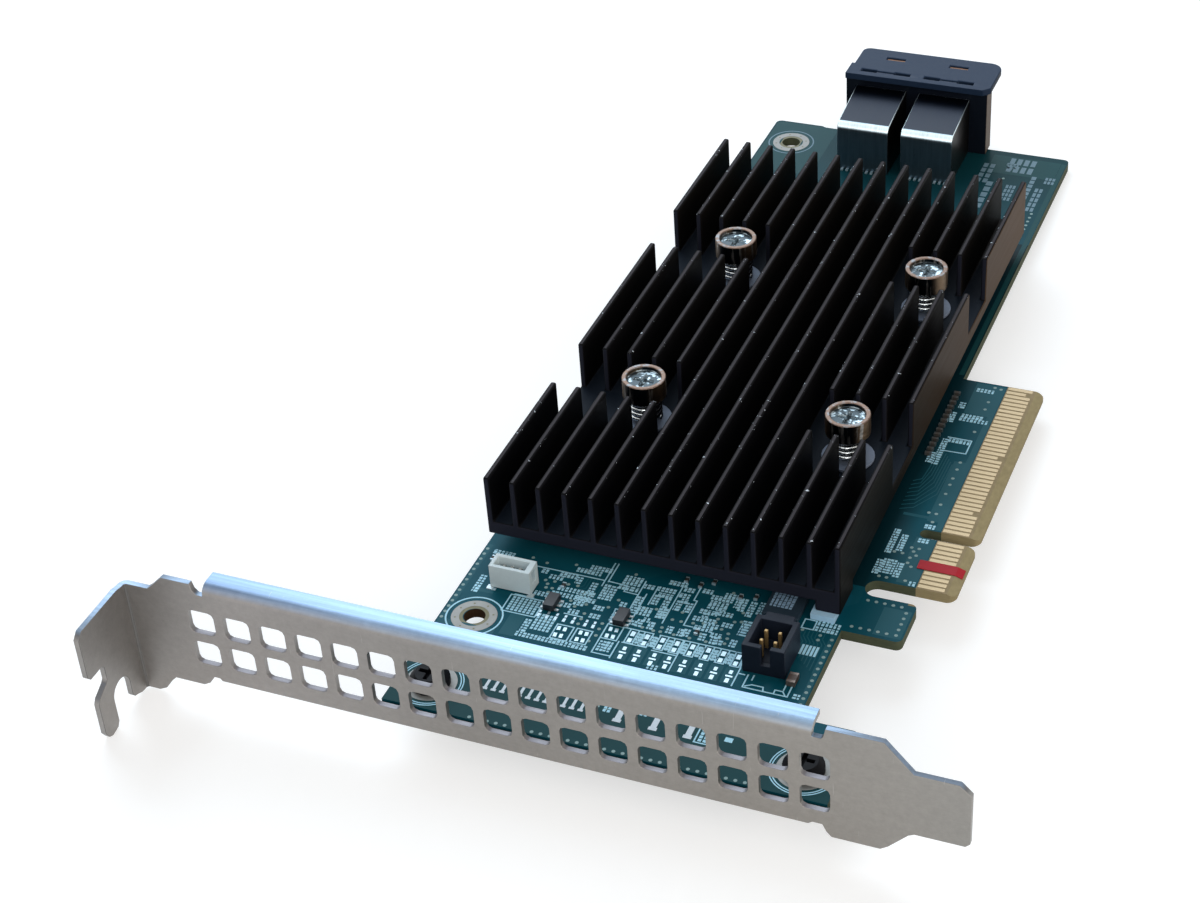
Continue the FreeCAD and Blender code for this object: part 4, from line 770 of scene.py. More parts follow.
def ringPiece(name, rows, high, sides, finish):
    # every row is x, y, inner radius, outer radius: a flat ring, or a disc where the inner is 0
    rows = np.asarray(rows, float)
    angle = np.linspace(0, 2 * math.pi, sides, endpoint=False)
    # the section runs round four corners: inner low, outer low, outer high, inner high
    radius = np.maximum(rows[:, [2, 3, 3, 2]], 0.001)
    height = np.array([levels["sunk"], levels["sunk"], high, high])
    x = rows[:, 0, None, None] + radius[:, None, :] * np.cos(angle)[None, :, None]
    y = rows[:, 1, None, None] + radius[:, None, :] * np.sin(angle)[None, :, None]
    z = height[None, None, :] + 0 * x
    points = onCard(np.stack([x, y, z], -1).reshape(-1, 3))
    around, corner = np.meshgrid(np.arange(sides), np.arange(4), indexing="ij")
    after = (around + 1) % sides
    nextCorner = (corner + 1) % 4
    one = np.stack([
        around * 4 + corner, after * 4 + corner, after * 4 + nextCorner, around * 4 + nextCorner,
    ], -1).reshape(-1, 4)
    faces = (one[None] + sides * 4 * np.arange(len(rows))[:, None, None]).reshape(-1, 4)
    return newPiece(name, points, faces[:, ::-1], finish)


def lineRows(paths, width):
    # the straight stretches of each path as turned rows for boxPiece
    rows = []
    for path in paths:
        path = np.asarray(path, float)
        step = path[1:] - path[:-1]
        length = np.hypot(step[:, 0], step[:, 1])
        x, y = ((path[1:] + path[:-1]) / 2).T
        turn = np.arctan2(step[:, 1], step[:, 0])
        rows.append(np.stack([x, y, length + width, 0 * length + width, turn], -1))
    return np.concatenate(rows)


def softened(node, finish, width, angle=35.0, segments=2):
    # a merged copy of the CAD piece with its sharp edges rounded
    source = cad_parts[node]
    mesh = source.data.copy()
    mesh.name = node + "Soft"
    work = bmesh.new()
    work.from_mesh(mesh)
    bmesh.ops.remove_doubles(work, verts=work.verts, dist=1e-7)
    flat = math.radians(0.4)
    bmesh.ops.dissolve_limit(work, angle_limit=flat, verts=work.verts, edges=work.edges)
    work.to_mesh(mesh)
    work.free()
    mesh.materials.clear()
    mesh.materials.append(finishes[finish])
    mesh.polygons.foreach_set("use_smooth", np.ones(len(mesh.polygons), bool))
    mesh.set_sharp_from_angle(angle=math.radians(angle))
    piece = bpy.data.objects.new(node + "_dressed", mesh)
    bpy.context.scene.collection.objects.link(piece)
    edge = piece.modifiers.new("edges", "BEVEL")
    edge.width = width * mm
    edge.segments = segments
    edge.limit_method = "ANGLE"
    edge.angle_limit = math.radians(angle)
    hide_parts(node)
    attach(piece, "root")
    return piece


def painted(node, finish):
    # the CAD piece as it is, with a finish
    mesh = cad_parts[node].data
    mesh.materials.clear()
    mesh.materials.append(finishes[finish])


def wireCoil(name, places, look, finish):
    # round wire on a helix: the ring of points at each step of the helix is set square to it,
    # x = R cos t, y = R sin t, z rising evenly, and both ends are closed by a point in the middle
    steps = int(look["turns"] * look["stepsPerTurn"])
    t = np.linspace(0, 2 * math.pi * look["turns"], steps + 1)
    rise = (look["high"] - look["low"] - 2 * look["wire"]) / t[-1]
    out = np.stack([np.cos(t), np.sin(t), 0 * t], -1)
    along = np.stack([-look["radius"] * np.sin(t), look["radius"] * np.cos(t), rise + 0 * t], -1)
    along /= np.linalg.norm(along, axis=1, keepdims=True)
    up = np.cross(out, along)
    height = look["low"] + look["wire"] + rise * t
    middle = look["radius"] * out + np.stack([0 * t, 0 * t, height], -1)
    turn = np.linspace(0, 2 * math.pi, look["sides"], endpoint=False)[None, :, None]
    ring = out[:, None] * np.cos(turn) + up[:, None] * np.sin(turn)
    tube = (middle[:, None] + look["wire"] * ring).reshape(-1, 3)
    one = np.concatenate([tube, middle[:1], middle[-1:]])
    step, side = np.meshgrid(np.arange(steps), np.arange(look["sides"]), indexing="ij")
    after = (side + 1) % look["sides"]
    here = step * look["sides"]
    there = here + look["sides"]
    quads = np.stack([here + side, there + side, there + after, here + after], -1).reshape(-1, 4)
    start = np.arange(look["sides"])
    beside = (start + 1) % look["sides"]
    end = steps * look["sides"]
    first = np.stack([0 * start + len(tube), start, beside], -1)
    last = np.stack([0 * start + len(tube) + 1, beside + end, start + end], -1)
    points = []
    faces = []
    for number, (x, y) in enumerate(places):
        points.append(onCard(one + np.array([x, y, 0.0])))
        for part in (quads, first, last):
            faces += (part + number * len(one)).tolist()
    return newPiece(name, np.concatenate(points), faces, finish, smooth=True)


# The card's own pieces
softened("bracket", "bracketSteel", 0.1, angle=50.0)
softened("heatsink", "anodisedBlack", 0.26)
softened("heatsink_screws", "nickelPlate", 0.14, segments=3)
for node, finish, slot, width in (
    ("spring_washers", "washerNylon", "white_nylon", 0.08),
    ("bracket_screws", "blackScrew", "black_screw", 0.12),
    ("port_housing", "portBlack", "port_black", 0.16),
    ("port_cover_left", "coverSteel", "cover_steel", 0.15),
    ("port_cover_right", "coverSteel", "cover_steel", 0.15),
    ("contact_block_left", "blockBlack", "port_black", 0.1),
    ("contact_block_right", "blockBlack", "port_black", 0.1),
    ("sensor_socket", "socketIvory", "socket_white", 0.07),
    ("header_shroud", "shroudBlack", "port_black", 0.08),
    ("header_pins", "pinGold", "gold", 0.1),
    ("memory_chips_upper", "chipBlack", "chip_black", 0.06),
    ("memory_chips_lower", "chipBlack", "chip_black", 0.06),
    ("firmware_chip", "chipBlack", "chip_black", 0.06),
    ("clock_chip", "chipSlate", "chip_black", 0.06),
    ("logic_chips", "chipLegged", "chip_black", 0.04),
    ("regulator_inductors", "ferriteGrey", "inductor_grey", 0.15),
    ("regulator_switches", "chipBlack", "chip_black", 0.06),
    ("board_nuts", "brassNut", "brass_nut", 0.08),
):
    softened(node, finish, width)
for node, finish in (
    ("circuit_board", "solderResist"),
    ("edge_contacts_upper", "goldPlate"),
    ("edge_contacts_lower", "goldPlate"),
    ("contact_tape", "redTape"),
    ("foot_pad", "softPad"),
    ("controller_package", "packageGreen"),
    ("controller_lid", "packageLid"),
    ("thermal_pad", "softPad"),
    ("coupling_capacitors", "couplingTanShaded"),
    ("filter_capacitor", "filterTan"),
    ("small_passives", "darkCeramic"),
    ("decoupling_capacitors", "tanCeramic"),
    ("port_contacts", "goldPlate"),
    ("port_tails", "tinned"),
    ("sensor_socket_pins", "socketPins"),
):
    painted(node, finish)

coilLook = {
    "radius": 2.25, "wire": 0.36, "low": 5.3, "high": 9.5, "turns": 4.0,
    "stepsPerTurn": 28, "sides": 10,
    "places": [(-48.3, 66.1), (-16.4, 66.1), (-48.3, 107.2), (-16.4, 107.2)],
}
coils = wireCoil("coil_springs", coilLook["places"], coilLook, "springWire")
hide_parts("heatsink_springs")
print("pieces dressed")


# What is printed on the board's component side, and what is plated there

inkWidth = 0.2
markLook = {
    "wide": 0.4, "high": 0.94, "pitch": 0.57, "gap": 0.14, "least": 0.12,
    "unit": 0.46,  # millimetres to one of a row's length
    "seed": 7,
}


def boxed(left, low, right, high):
    return [(left, low), (right, low), (right, high), (left, high), (left, low)]


def spread(rows):
    # rows of left, low, right, high as flat blocks for boxPiece
    rows = np.asarray(rows, float)
    middle = (rows[:, 0:2] + rows[:, 2:4]) / 2
    return np.concatenate([middle, rows[:, 2:4] - rows[:, 0:2], np.zeros((len(rows), 1))], 1)


def marks(starts, upright):
    # each start is x, y, length: a row of plain blocks along x or along y, each one cut across
    # at a chance height, so that it shows as two short blocks with a gap
    look = markLook
    random = np.random.default_rng(look["seed"])
    half = look["high"] / 2
    rows = []
    for x, y, length in starts:
        count = max(1, round(length * look["unit"] / look["pitch"]))
        step = np.arange(count) * look["pitch"]
        wide = look["wide"] * random.uniform(0.75, 1.2, count)
        cut = look["high"] * random.uniform(0.25, 0.75, count)
        upper = look["high"] - cut - look["gap"]
        for middle, tall in ((cut / 2 - half, cut), (half - upper / 2, upper)):
            tall = np.maximum(tall, look["least"])
            if upright:
                rows.append(np.stack([x - middle, y + step, tall, wide, 0 * step], -1))
            else:
                rows.append(np.stack([x + step, y + middle, wide, tall, 0 * step], -1))
    return np.concatenate(rows)


pours = [
    (-61.6, 16.0, -60.9, 36.5), (-61.6, 16.0, -53.0, 19.4), (-52.3, 18.8, -50.0, 23.4),
    (-59.8, 26.3, -56.5, 27.0), (-35.2, 18.9, -33.4, 22.2), (-33.0, 18.9, -31.2, 22.2),
    (-30.8, 18.9, -29.0, 22.2), (-28.6, 18.9, -27.1, 22.2), (-26.7, 18.9, -24.6, 22.2),
    (-24.2, 18.9, -22.3, 22.2), (-21.9, 18.9, -20.1, 22.2), (-19.7, 18.9, -18.0, 22.2),
    (-8.3, 16.2, -7.5, 33.0), (-3.1, 34.7, 0.9, 40.7), (-3.2, 46.4, -0.3, 57.0),
    (-6.6, 61.4, -0.3, 62.0), (-1.2, 59.2, -0.3, 96.6), (-4.9, 88.3, -0.3, 96.6),
    (-2.9, 61.0, -1.2, 76.0), (-61.6, 40.0, -61.4, 148.0),
]
# the pours beyond the heatsink, in a darker copy as painted shade
farPours = [
    (-8.3, 98.0, -7.5, 166.0), (-20.5, 160.0, -8.4, 166.2), (-61.6, 150.0, -50.0, 158.0),
    (-61.6, 158.0, -58.7, 162.8), (-55.1, 158.0, -50.0, 162.8), (-61.6, 162.8, -50.0, 167.3),
]
boxPiece("copper_pours", spread(pours), levels["copper"], "buriedCopper")
boxPiece("copper_pours_far", spread(farPours), levels["copper"], "farCopperShaded")

# buried traces that sweep round from under the heatsink towards the contacts
traces = []
for number in range(8):
    traces.append([
        (-7.4, 62.6 + number), (-5.6 - 0.1 * number, 63.4 + number),
        (-3.2 - 0.4 * number, 67.4 + 0.85 * number), (-3.0 - 0.4 * number, 75.0 + 0.6 * number),
    ])
for number in range(7):
    x = -44.8 + 0.5 * number
    traces.append([(x, 35.8), (x, 32.0 - 0.4 * number), (x - 1.6, 30.2 - 0.4 * number)])
for number in range(8):
    x = -13.0 + 0.55 * number
    traces.append([(x, 33.0), (x, 31.5), (x + 0.8, 30.4), (x + 0.8, 28.0 - 0.5 * number)])
boxPiece("copper_traces", lineRows(traces, 0.16), levels["copper"], "buriedCopper")

outlines = [
    [(-53.0, 34.0), (-42.4, 34.0)], [(-42.35, 32.8), (-42.35, 38.0)],
    [(-41.8, 33.9), (-41.8, 38.0)], [(-41.6, 34.0), (-38.9, 33.9), (-38.9, 32.6), (-36.7, 32.5)],
    [(-36.7, 28.7), (-36.7, 35.6)], [(-38.3, 25.5), (-38.6, 28.7), (-35.6, 28.7)],
    [(-35.6, 25.4), (-35.6, 33.0)], [(-34.6, 31.0), (-34.6, 35.0)],
    [(-31.3, 27.9), (-31.3, 36.4)],
    [(-28.8, 36.5), (-28.8, 33.8), (-28.3, 33.8), (-28.3, 28.4), (-27.0, 28.4)],
    [(-45.1, 25.6), (-42.4, 25.6)], [(-49.2, 25.6), (-46.9, 25.6)],
    [(-36.1, 25.4), (-31.7, 25.4)], [(-30.6, 25.4), (-18.3, 25.4), (-17.9, 22.5)],
    [(-38.4, 22.4), (-38.4, 19.2), (-35.8, 19.2)], [(-35.6, 22.4), (-35.6, 18.9)],
    [(-26.95, 18.8), (-26.95, 25.4)], [(-17.85, 18.8), (-17.85, 22.5)],
    [(-35.1, 22.4), (-31.6, 22.4)], [(-30.6, 22.1), (-27.2, 22.1)],
    [(-16.4, 21.5), (-16.4, 19.0), (-10.05, 19.0), (-10.05, 21.4)],
    [(-16.1, 19.3), (-15.3, 19.8), (-13.7, 19.8), (-13.5, 19.1)],
    [(-12.0, 19.1), (-12.0, 19.8), (-10.9, 19.8), (-10.4, 19.1)], [(-15.6, 20.7), (-15.6, 21.6)],
    [(-10.9, 20.1), (-10.9, 21.4)], [(-17.6, 21.4), (-16.9, 21.4)],
    [(-5.4, 81.6), (-1.8, 81.6), (-1.8, 78.2), (-5.3, 78.1)], [(-53.4, 27.3), (-50.6, 27.3)],
    boxed(-45.1, 20.2, -42.6, 23.2), boxed(-42.1, 20.3, -39.8, 23.2),
    boxed(-38.4, 22.4, -36.0, 25.4), boxed(-53.9, 23.5, -48.8, 27.1),
    boxed(-12.7, 33.0, -11.0, 34.9),
]
pairPlaces = [-34.3, -32.2, -29.9, -27.75, -25.5, -23.2, -21.0, -18.8]
halfPair = 0.62
for x in pairPlaces:
    left, right = x - halfPair, x + halfPair
    outlines.append([(left, 25.4), (left, 22.5), (right, 22.5), (right, 25.4)])
boxPiece("ink_outlines", lineRows(outlines, inkWidth), levels["ink"], "printWhite")

# rows of short blocks beside the small parts: x and y of the first, and the row's length
lyingMarks = [
    (-48.8, 33.4, 6), (-50.1, 32.5, 5), (-48.4, 29.2, 15), (-44.6, 28.2, 4), (-41.5, 28.1, 4),
    (-44.6, 26.3, 4), (-41.4, 26.3, 4), (-49.8, 19.6, 24), (-39.6, 34.6, 6), (-36.4, 34.6, 4),
    (-34.3, 34.7, 6), (-60.0, 35.2, 7), (-30.7, 35.7, 4), (-28.1, 36.2, 4), (-27.0, 32.0, 6),
    (-27.4, 30.3, 7), (-26.6, 28.5, 6), (-29.9, 18.9, 4), (-10.6, 34.6, 7), (-10.6, 33.4, 7),
    (-35.5, 29.9, 5), (-35.5, 29.0, 5), (-2.6, 59.7, 4), (-2.6, 56.3, 4), (-1.2, 46.6, 2),
    (-4.3, 94.8, 6), (-4.9, 86.7, 10), (-4.8, 87.6, 8), (-5.0, 80.9, 7), (-39.8, 33.4, 5),
    (-39.6, 35.6, 6), (-26.3, 33.3, 6), (-26.3, 34.2, 6), (-47.9, 30.5, 12), (-46.8, 27.3, 5),
    (-46.9, 35.1, 9), (-44.8, 29.4, 5), (-33.8, 33.5, 5), (-33.9, 27.8, 3), (-30.9, 34.3, 4),
    (-30.3, 33.2, 3), (-26.5, 35.3, 8), (-24.9, 32.3, 6), (-25.5, 29.4, 5), (-23.9, 27.7, 4),
    (-24.8, 36.3, 5), (-33.2, 36.5, 6), (-45.2, 36.2, 7), (-23.1, 30.2, 4), (-37.8, 33.4, 3),
    (-50.8, 28.5, 5), (-51.6, 33.3, 3), (-38.2, 29.9, 3), (-16.9, 31.9, 5), (-16.3, 30.9, 4),
]
standingMarks = [
    (-59.3, 26.2, 9), (-41.5, 30.2, 8), (-40.4, 30.2, 8), (-49.3, 20.4, 6), (-33.9, 31.4, 5),
    (-32.3, 28.9, 10), (-30.5, 31.2, 5), (-29.0, 31.2, 5), (-36.1, 29.2, 8), (-21.9, 33.8, 6),
    (-20.5, 33.0, 8), (-19.2, 33.9, 6), (-34.3, 26.3, 4), (-32.6, 26.3, 4), (-29.8, 26.3, 4),
    (-28.1, 26.2, 4), (-25.0, 26.3, 4), (-23.3, 26.1, 4), (-20.5, 26.3, 4), (-20.2, 28.9, 8),
    (-19.3, 28.9, 8), (-6.2, 52.5, 12), (-4.8, 53.3, 9), (-6.6, 47.5, 7), (-5.7, 47.9, 8),
    (-4.7, 47.9, 7), (-3.6, 47.5, 8), (-5.6, 74.6, 15), (-6.6, 74.8, 6), (-6.3, 85.6, 6),
    (-5.6, 89.6, 4), (-27.4, 26.4, 4), (-37.6, 20.0, 5), (-36.6, 20.0, 5), (-8.9, 19.1, 3),
    (-43.4, 30.6, 6), (-38.2, 26.3, 4), (-31.9, 29.0, 5), (-26.1, 31.0, 3), (-22.6, 34.2, 5),
    (-18.4, 30.0, 7), (-17.6, 27.0, 6), (-35.1, 26.4, 3), (-22.4, 26.2, 3), (-45.9, 32.3, 4),
    (-52.4, 30.0, 5),
]
for x in pairPlaces[:-1]:
    standingMarks += [(x + 0.92, 23.0, 5), (x + 1.28, 22.9, 5)]
inkRows = np.concatenate([marks(lyingMarks, False), marks(standingMarks, True)])
boxPiece("ink_marks", inkRows, levels["ink"], "printWhite")

# blocks of close strokes: left, low, right, high, then how many along and across
nearBlocks = [
    (-53.5, 23.8, -49.1, 26.9, 7, 6), (-11.5, 27.4, -8.9, 30.1, 5, 1),
    (-48.6, 21.0, -45.6, 24.6, 5, 6), (-31.2, 4.9, -26.6, 5.4, 8, 1),
    (-25.2, 4.9, -21.4, 5.4, 7, 1), (-18.6, 7.2, -17.2, 9.8, 2, 4),
    (-32.6, 8.6, -31.4, 9.8, 2, 2), (-27.6, 9.4, -26.4, 10.2, 2, 1),
    (-45.0, 4.8, -43.9, 5.2, 2, 1), (-15.4, 8.2, -13.8, 9.3, 1, 1),
]
farBlocks = [
    (-17.4, 160.6, -12.4, 166.0, 4, 2), (-21.6, 156.0, -19.2, 163.0, 2, 4),
    (-19.6, 147.4, -18.0, 157.0, 1, 5), (-15.9, 151.0, -14.0, 156.6, 3, 4),
    (-12.4, 152.4, -11.2, 160.5, 1, 6), (-10.8, 148.6, -9.2, 156.8, 2, 5),
    (-9.9, 158.4, -8.0, 160.8, 3, 2),
]


def strokesOf(blocks):
    side, end = 0.16, 0.12  # the share of a stroke's place that stays bare beside it
    rows = []
    for left, low, right, high, along, across in blocks:
        wide = (right - left) / along
        tall = (high - low) / across
        rows += [
            (left + wide * (column + side), low + tall * (row + end),
             left + wide * (column + 1 - side), low + tall * (row + 1 - end))
            for column in range(along) for row in range(across)
        ]
    return spread(rows)


boxPiece("ink_blocks", strokesOf(nearBlocks), levels["ink"], "printWhite")
farInk = np.concatenate([
    strokesOf(farBlocks), marks([(-17.3, 163.4, 5), (-17.0, 162.0, 4)], False),
])
boxPiece("ink_far", farInk, levels["ink"], "softInk")


def footed(x, half, foot, low, shoulder, high):
    # an upright bar on a wider foot, both given by half their width
    return [(x - half, shoulder, x + half, high), (x - foot, low, x + foot, shoulder)]


# bars on feet, in groups behind the bracket's vents
bars = []
for first, count in ((-49.4, 3), (-44.3, 4), (-37.9, 3)):
    for number in range(count):
        bars += footed(first + 1.27 * number, 0.21, 0.38, 7.7, 8.1, 10.5)
for x in (-30.0, -24.9, -20.0):
    bars += footed(x, 0.42, 0.6, 7.3, 7.9, 10.4)
boxPiece("ink_bars", spread(bars), levels["ink"], "blockInk")

chipLook = {"starts": [(-17.9, 37.6, 8), (-17.9, 36.6, 8), (-17.9, 35.6, 8)], "top": 0.915}
chipRows = marks(chipLook["starts"], False)
boxPiece("chip_marks", chipRows, chipLook["top"], "dimInk", low=chipLook["top"] - 0.055)

stripLook = {  # one gold strip in each of the hood's windows
    "middles": (-41.45, -29.85), "from": -0.88, "to": 2.48, "near": 171.62, "far": 172.48,
    "low": 12.4, "top": 12.85,
}
strips = [
    (middle + stripLook["from"], stripLook["near"], middle + stripLook["to"], stripLook["far"])
    for middle in stripLook["middles"]
]
boxPiece("window_strips", spread(strips), stripLook["top"], "copperDull", stripLook["low"])

holePlaces = boardLook["holes"]
screwPlaces = [(-56.9, 6.6), (-3.6, 6.6)]
ringLook = {  # inner and outer radius
    "ink": (3.92, 4.16), "screwInk": [(4.12, 4.28), (4.48, 4.64)], "laminate": (1.62, 2.2),
    "tinned": (2.15, 3.3), "screwTinned": (1.72, 3.7), "via": (0.0, 0.27),
    "dot": (0.0, 0.15), "dots": 8, "dotsOut": 2.72, "dotsFrom": 0.4,
}
nearHole, farHole = holePlaces
ringPiece("ink_ring_far", [farHole + ringLook["ink"]], levels["ink"], 56, "softInk")
inkRings = [nearHole + ringLook["ink"]]
inkRings += [place + ring for place in screwPlaces for ring in ringLook["screwInk"]]
ringPiece("ink_rings", inkRings, levels["ink"], 56, "printWhite")
laminateRings = [place + ringLook["laminate"] for place in holePlaces]
ringPiece("laminate_rings", laminateRings, levels["copper"], 40, "bareLaminate")
tinnedRings = [place + ringLook["tinned"] for place in holePlaces]
tinnedRings += [place + ringLook["screwTinned"] for place in screwPlaces]
ringPiece("tinned_rings", tinnedRings, levels["pad"], 48, "paleRing")
dotTurns = ringLook["dotsFrom"] + np.linspace(0, 2 * math.pi, ringLook["dots"], endpoint=False)
ringDots = [
    (x + ringLook["dotsOut"] * math.cos(turn), y + ringLook["dotsOut"] * math.sin(turn))
    + ringLook["dot"] for x, y in holePlaces for turn in dotTurns
]
ringPiece("ring_dots", ringDots, levels["dot"], 8, "bareLaminate")

padLook = {
    "pair": [  # y, width, depth, turn at each of pairPlaces
        (24.5, 0.6, 0.95, 0), (23.1, 0.6, 0.85, 0), (21.3, 0.5, 0.7, 0), (20.45, 1.0, 0.3, 0),
        (19.55, 0.55, 0.85, 0),
    ],
    "fours": [(-44.15, 21.7), (-40.9, 21.75), (-37.2, 23.75)],
    "foursOut": (0.45, 0.72),
    "four": (0.5, 0.8, 0.12),
    "row": [-48.5, -47.2, -45.9, -44.6, -43.3, -41.4, -40.2],
    "inRow": [(25.0, 0.34, 0.5, 0), (24.2, 0.42, 0.7, 0)],
    "single": [
        (-57.0, 27.35, 1.1, 0.55, 0), (-51.3, 27.35, 0.8, 0.5, 0), (-51.6, 30.0, 0.5, 1.2, 0),
    ],
}
outX, outY = padLook["foursOut"]
padRows = [(x, *pad) for x in pairPlaces for pad in padLook["pair"]]
padRows += [
    (x + dx, y + dy, *padLook["four"])
    for x, y in padLook["fours"] for dx in (-outX, outX) for dy in (outY, -outY)
]
padRows += [(x, *pad) for x in padLook["row"] for pad in padLook["inRow"]]
boxPiece("solder_pads", padRows + padLook["single"], levels["pad"], "tinned")

tipPlaces = [
    (-47.5, 31.0), (-26.0, 27.4), (-20.6, 36.9), (-22.7, 36.3), (-27.3, 38.3), (-28.9, 37.0),
    (-31.2, 37.5), (-59.6, 33.5),
]
tipRows = [(x, y + out, 0.54, 0.22, 0) for x, y in tipPlaces for out in (-0.42, 0.42)]
boxPiece("passive_tips", tipRows, levels["tip"], "tinned")

underlines = [
    [(-31.2, 4.7), (-26.6, 4.7)], [(-25.2, 4.7), (-21.4, 4.7)],
    [(-18.9, 9.9), (-18.9, 7.0), (-16.9, 7.0)],
]
boxPiece("ink_underlines", lineRows(underlines, inkWidth), levels["ink"], "printWhite")

# vias in rows, given by first, last and pitch along x or along y, and single ones
viaRows = [
    (41.35, -5.7, 0.0, 1.22), (35.35, -6.2, -0.6, 1.25), (2.0, -49.0, -9.0, 1.3),
]
viaColumns = [
    (-61.4, 19.6, 36.6, 1.22), (-7.9, 16.9, 32.8, 1.24), (0.12, 35.4, 40.9, 1.22),
    (-9.3, 139.0, 149.0, 1.3),
]
viaPlaces = [(x, y) for y, first, last, pitch in viaRows for x in np.arange(first, last, pitch)]
viaPlaces += [(x, y) for x, first, last, pitch in viaColumns for y in np.arange(first, last, pitch)]
viaPlaces += [
    (-3.2, 54.4), (-2.1, 54.4), (-2.7, 53.6), (-2.1, 52.8), (-2.8, 52.1), (-4.1, 52.8),
    (-2.8, 50.9), (-2.1, 50.2), (-2.0, 47.0), (-5.3, 52.8), (-5.8, 46.9), (-4.7, 46.9),
    (-3.1, 62.9), (-2.0, 62.9), (-2.0, 60.9), (-2.0, 65.2), (-2.0, 67.9), (-2.0, 70.2),
    (-2.0, 71.8), (-2.0, 74.1), (-2.0, 75.9), (-2.0, 84.0), (-2.0, 90.1), (-2.0, 92.1),
    (-2.0, 96.1), (-1.0, 95.9), (-50.5, 31.5), (-49.9, 30.8), (-49.1, 31.6), (-48.9, 30.1),
    (-47.0, 31.6), (-45.6, 31.7), (-44.0, 30.4), (-43.0, 30.4), (-45.3, 28.4), (-42.9, 28.3),
    (-49.1, 29.1), (-42.4, 26.4), (-39.7, 28.7), (-49.8, 30.0), (-51.8, 35.1), (-45.6, 35.1),
    (-44.3, 27.4), (-39.2, 25.2), (-39.2, 24.0), (-39.1, 22.6), (-42.4, 25.2), (-42.4, 24.1),
    (-39.6, 21.2), (-47.0, 23.2), (-33.1, 30.4), (-29.4, 30.9), (-30.2, 29.0), (-28.9, 29.0),
    (-27.2, 29.2), (-25.8, 29.6), (-24.2, 31.1), (-24.3, 30.3), (-21.8, 31.2), (-22.9, 32.2),
    (-21.3, 33.4), (-20.9, 31.5), (-21.8, 28.6), (-21.6, 27.6), (-22.6, 27.4), (-23.8, 29.1),
    (-23.0, 29.2), (-26.6, 26.1), (-24.2, 26.1), (-21.6, 26.5), (-31.0, 27.0), (-30.9, 26.1),
    (-28.9, 26.1), (-31.9, 26.0), (-33.6, 26.2), (-12.4, 32.6), (-9.7, 32.2), (-9.7, 31.2),
    (-38.9, 30.6), (-25.4, 27.4), (-34.6, 30.0), (-18.9, 27.0), (-24.0, 37.0), (-47.6, 36.0),
    (-38.6, 36.6), (-33.0, 36.6), (-54.2, 35.6), (-33.2, 7.4), (-32.2, 9.2), (-33.4, 9.4),
    (-16.9, 158.4), (-12.9, 150.4),
]
vias = [place + ringLook["via"] for place in viaPlaces]
ringPiece("tented_vias", vias, levels["via"], 8, "viaDot")
print("board printed")


# The camera stands where the photograph was taken from

cameraLook = {
    "place": (69.555, -206.44, 219.5),  # card millimetres
    "turn": 0.433,  # radians, from straight along the board
    "tilt": 0.638,
    "roll": -0.077,
    "focal": 2415.44,  # in pixels of a picture 1200 wide
    "pixelsWide": 1200,
    "sensor": 36.0,
    "clip": (0.01, 20.0),
}


def addCamera():
    look = cameraLook
    forward = Vector((
        -math.sin(look["turn"]) * math.cos(look["tilt"]),
        math.cos(look["turn"]) * math.cos(look["tilt"]),
        -math.sin(look["tilt"]),
    ))
    right = forward.cross(Vector((0, 0, 1))).normalized()
    up = right.cross(forward)
    rolled = math.cos(look["roll"]) * right + math.sin(look["roll"]) * up
    above = -math.sin(look["roll"]) * right + math.cos(look["roll"]) * up
    data = bpy.data.cameras.new("photoCamera")
    data.sensor_width = look["sensor"]
    data.lens = look["focal"] * look["sensor"] / look["pixelsWide"]
    data.clip_start, data.clip_end = look["clip"]
    camera = bpy.data.objects.new("photoCamera", data)
    turn = Matrix((rolled, above, -forward)).transposed().to_4x4()
    camera.matrix_world = Matrix.Translation(Vector(onCard([look["place"]])[0])) @ turn
    bpy.context.scene.collection.objects.link(camera)
    bpy.context.scene.camera = camera


# Floor, lamps and surroundings

roomLook = {
    "floorSize": 1.7,
    "floorTone": (0.58, 0.58, 0.58),
    "floorGlow": 0.56,
    "floorUnder": 0.05,  # millimetres between the floor and the card
    "ambient": (0.36, (0.93, 0.97, 1.0)),
}
lampLook = {
    "sky": {
        "place": (-0.5, 0.62, 0.66), "size": (0.9, 0.7), "power": 9.0,
        "colour": (0.74, 0.88, 1.0),
    },
    "wall": {
        "place": (0.62, -0.3, 0.3), "size": (0.5, 0.5), "power": 2.0,
        "colour": (1.0, 0.9, 0.78),
    },
    "front": {
        "place": (0.1, -0.8, 0.5), "size": (0.8, 0.4), "power": 2.2,
        "colour": (1.0, 0.97, 0.94),
    },
}


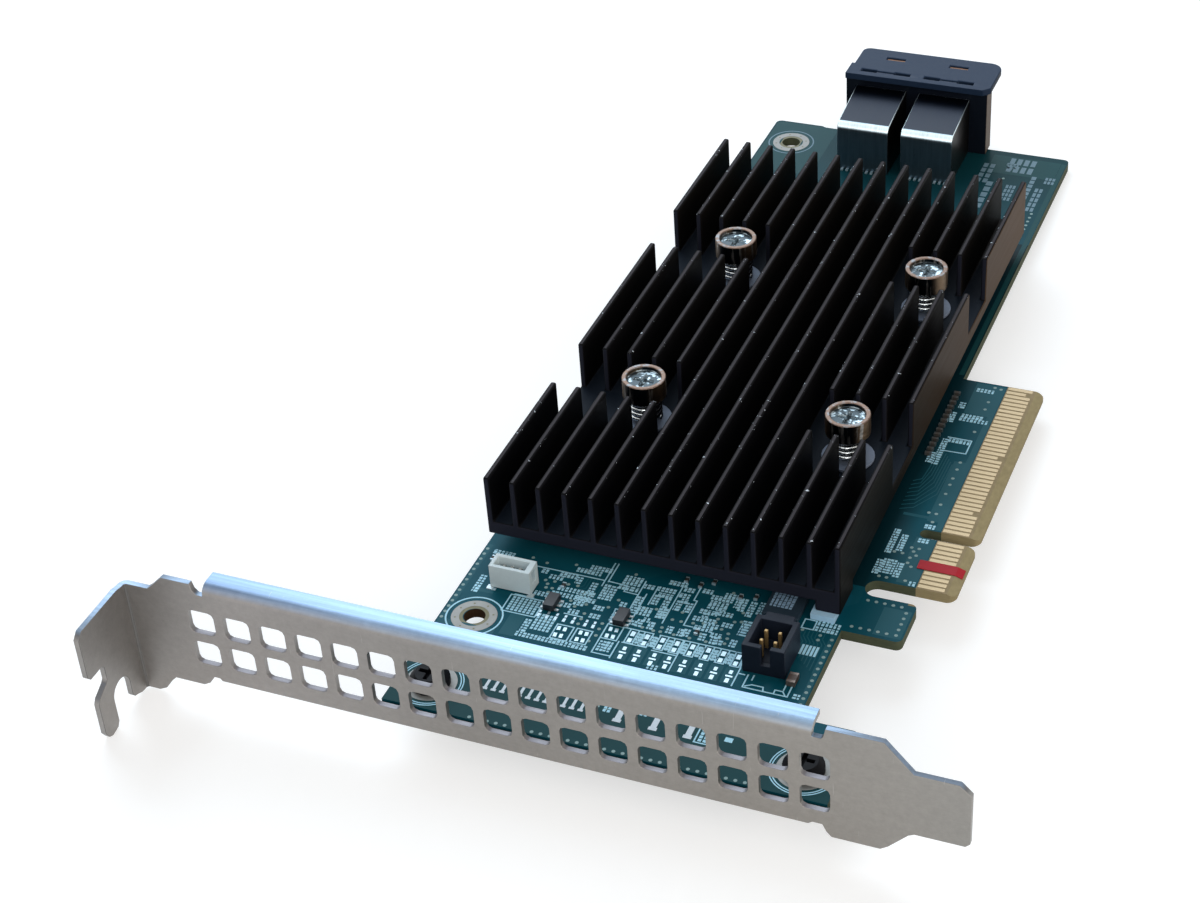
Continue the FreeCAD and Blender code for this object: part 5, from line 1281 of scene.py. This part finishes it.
def addFloor():
    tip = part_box("bracket")[0]
    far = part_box("circuit_board")[1].y
    # the plane passes under the tab's tip and under the board's far end
    rise = (boardLow - tip.z) / (far - tip.y)
    half = roomLook["floorSize"] / 2
    under = roomLook["floorUnder"] * mm
    corners = [(-half, -half), (half, -half), (half, half), (-half, half)]
    points = [(x, y, boardLow + rise * (y - far) - under) for x, y in corners]
    mesh = bpy.data.meshes.new("floor")
    mesh.from_pydata(points, [], [(0, 1, 2, 3)])
    paint = Paint("floorPale", "ShaderNodeBsdfDiffuse")
    paint.set(Color=roomLook["floorTone"])
    glow = paint.tree.nodes.new("ShaderNodeEmission")
    paint.put(glow, "Strength", paint.seen() * roomLook["floorGlow"])
    both = paint.tree.nodes.new("ShaderNodeAddShader")
    paint.tree.links.new(paint.shader.outputs[0], both.inputs[0])
    paint.tree.links.new(glow.outputs[0], both.inputs[1])
    paint.tree.links.new(both.outputs[0], paint.end.inputs[0])
    mesh.materials.append(paint.material)
    floor = bpy.data.objects.new("floor", mesh)
    bpy.context.scene.collection.objects.link(floor)


def addLamp(name, look):
    data = bpy.data.lights.new(name + "Lamp", "AREA")
    data.shape = "RECTANGLE"
    data.size, data.size_y = look["size"]
    data.energy = look["power"]
    data.color = look["colour"]
    lamp = bpy.data.objects.new(name + "Lamp", data)
    place = Vector(look["place"])
    turn = (-place).to_track_quat("-Z", "Y").to_matrix().to_4x4()
    lamp.matrix_world = Matrix.Translation(place) @ turn
    bpy.context.scene.collection.objects.link(lamp)


def addWorld():
    # white to the camera, to metal and to glass; a dimmer, slightly cool light on everything else
    world = bpy.data.worlds.new("studio")
    bpy.context.scene.world = world
    world.use_nodes = True
    wiring = Wiring(world.node_tree)
    level, tint = roomLook["ambient"]
    dim = tuple(level * value for value in tint)
    sky = wiring.mix(wiring.seen(), dim, (1.0, 1.0, 1.0))
    wiring.put(world.node_tree.nodes["Background"], "Color", sky)


addCamera()
addFloor()
for lampName, lampSettings in lampLook.items():
    addLamp(lampName, lampSettings)
addWorld()
bpy.context.scene.view_settings.view_transform = "Standard"
print("camera and lamps")
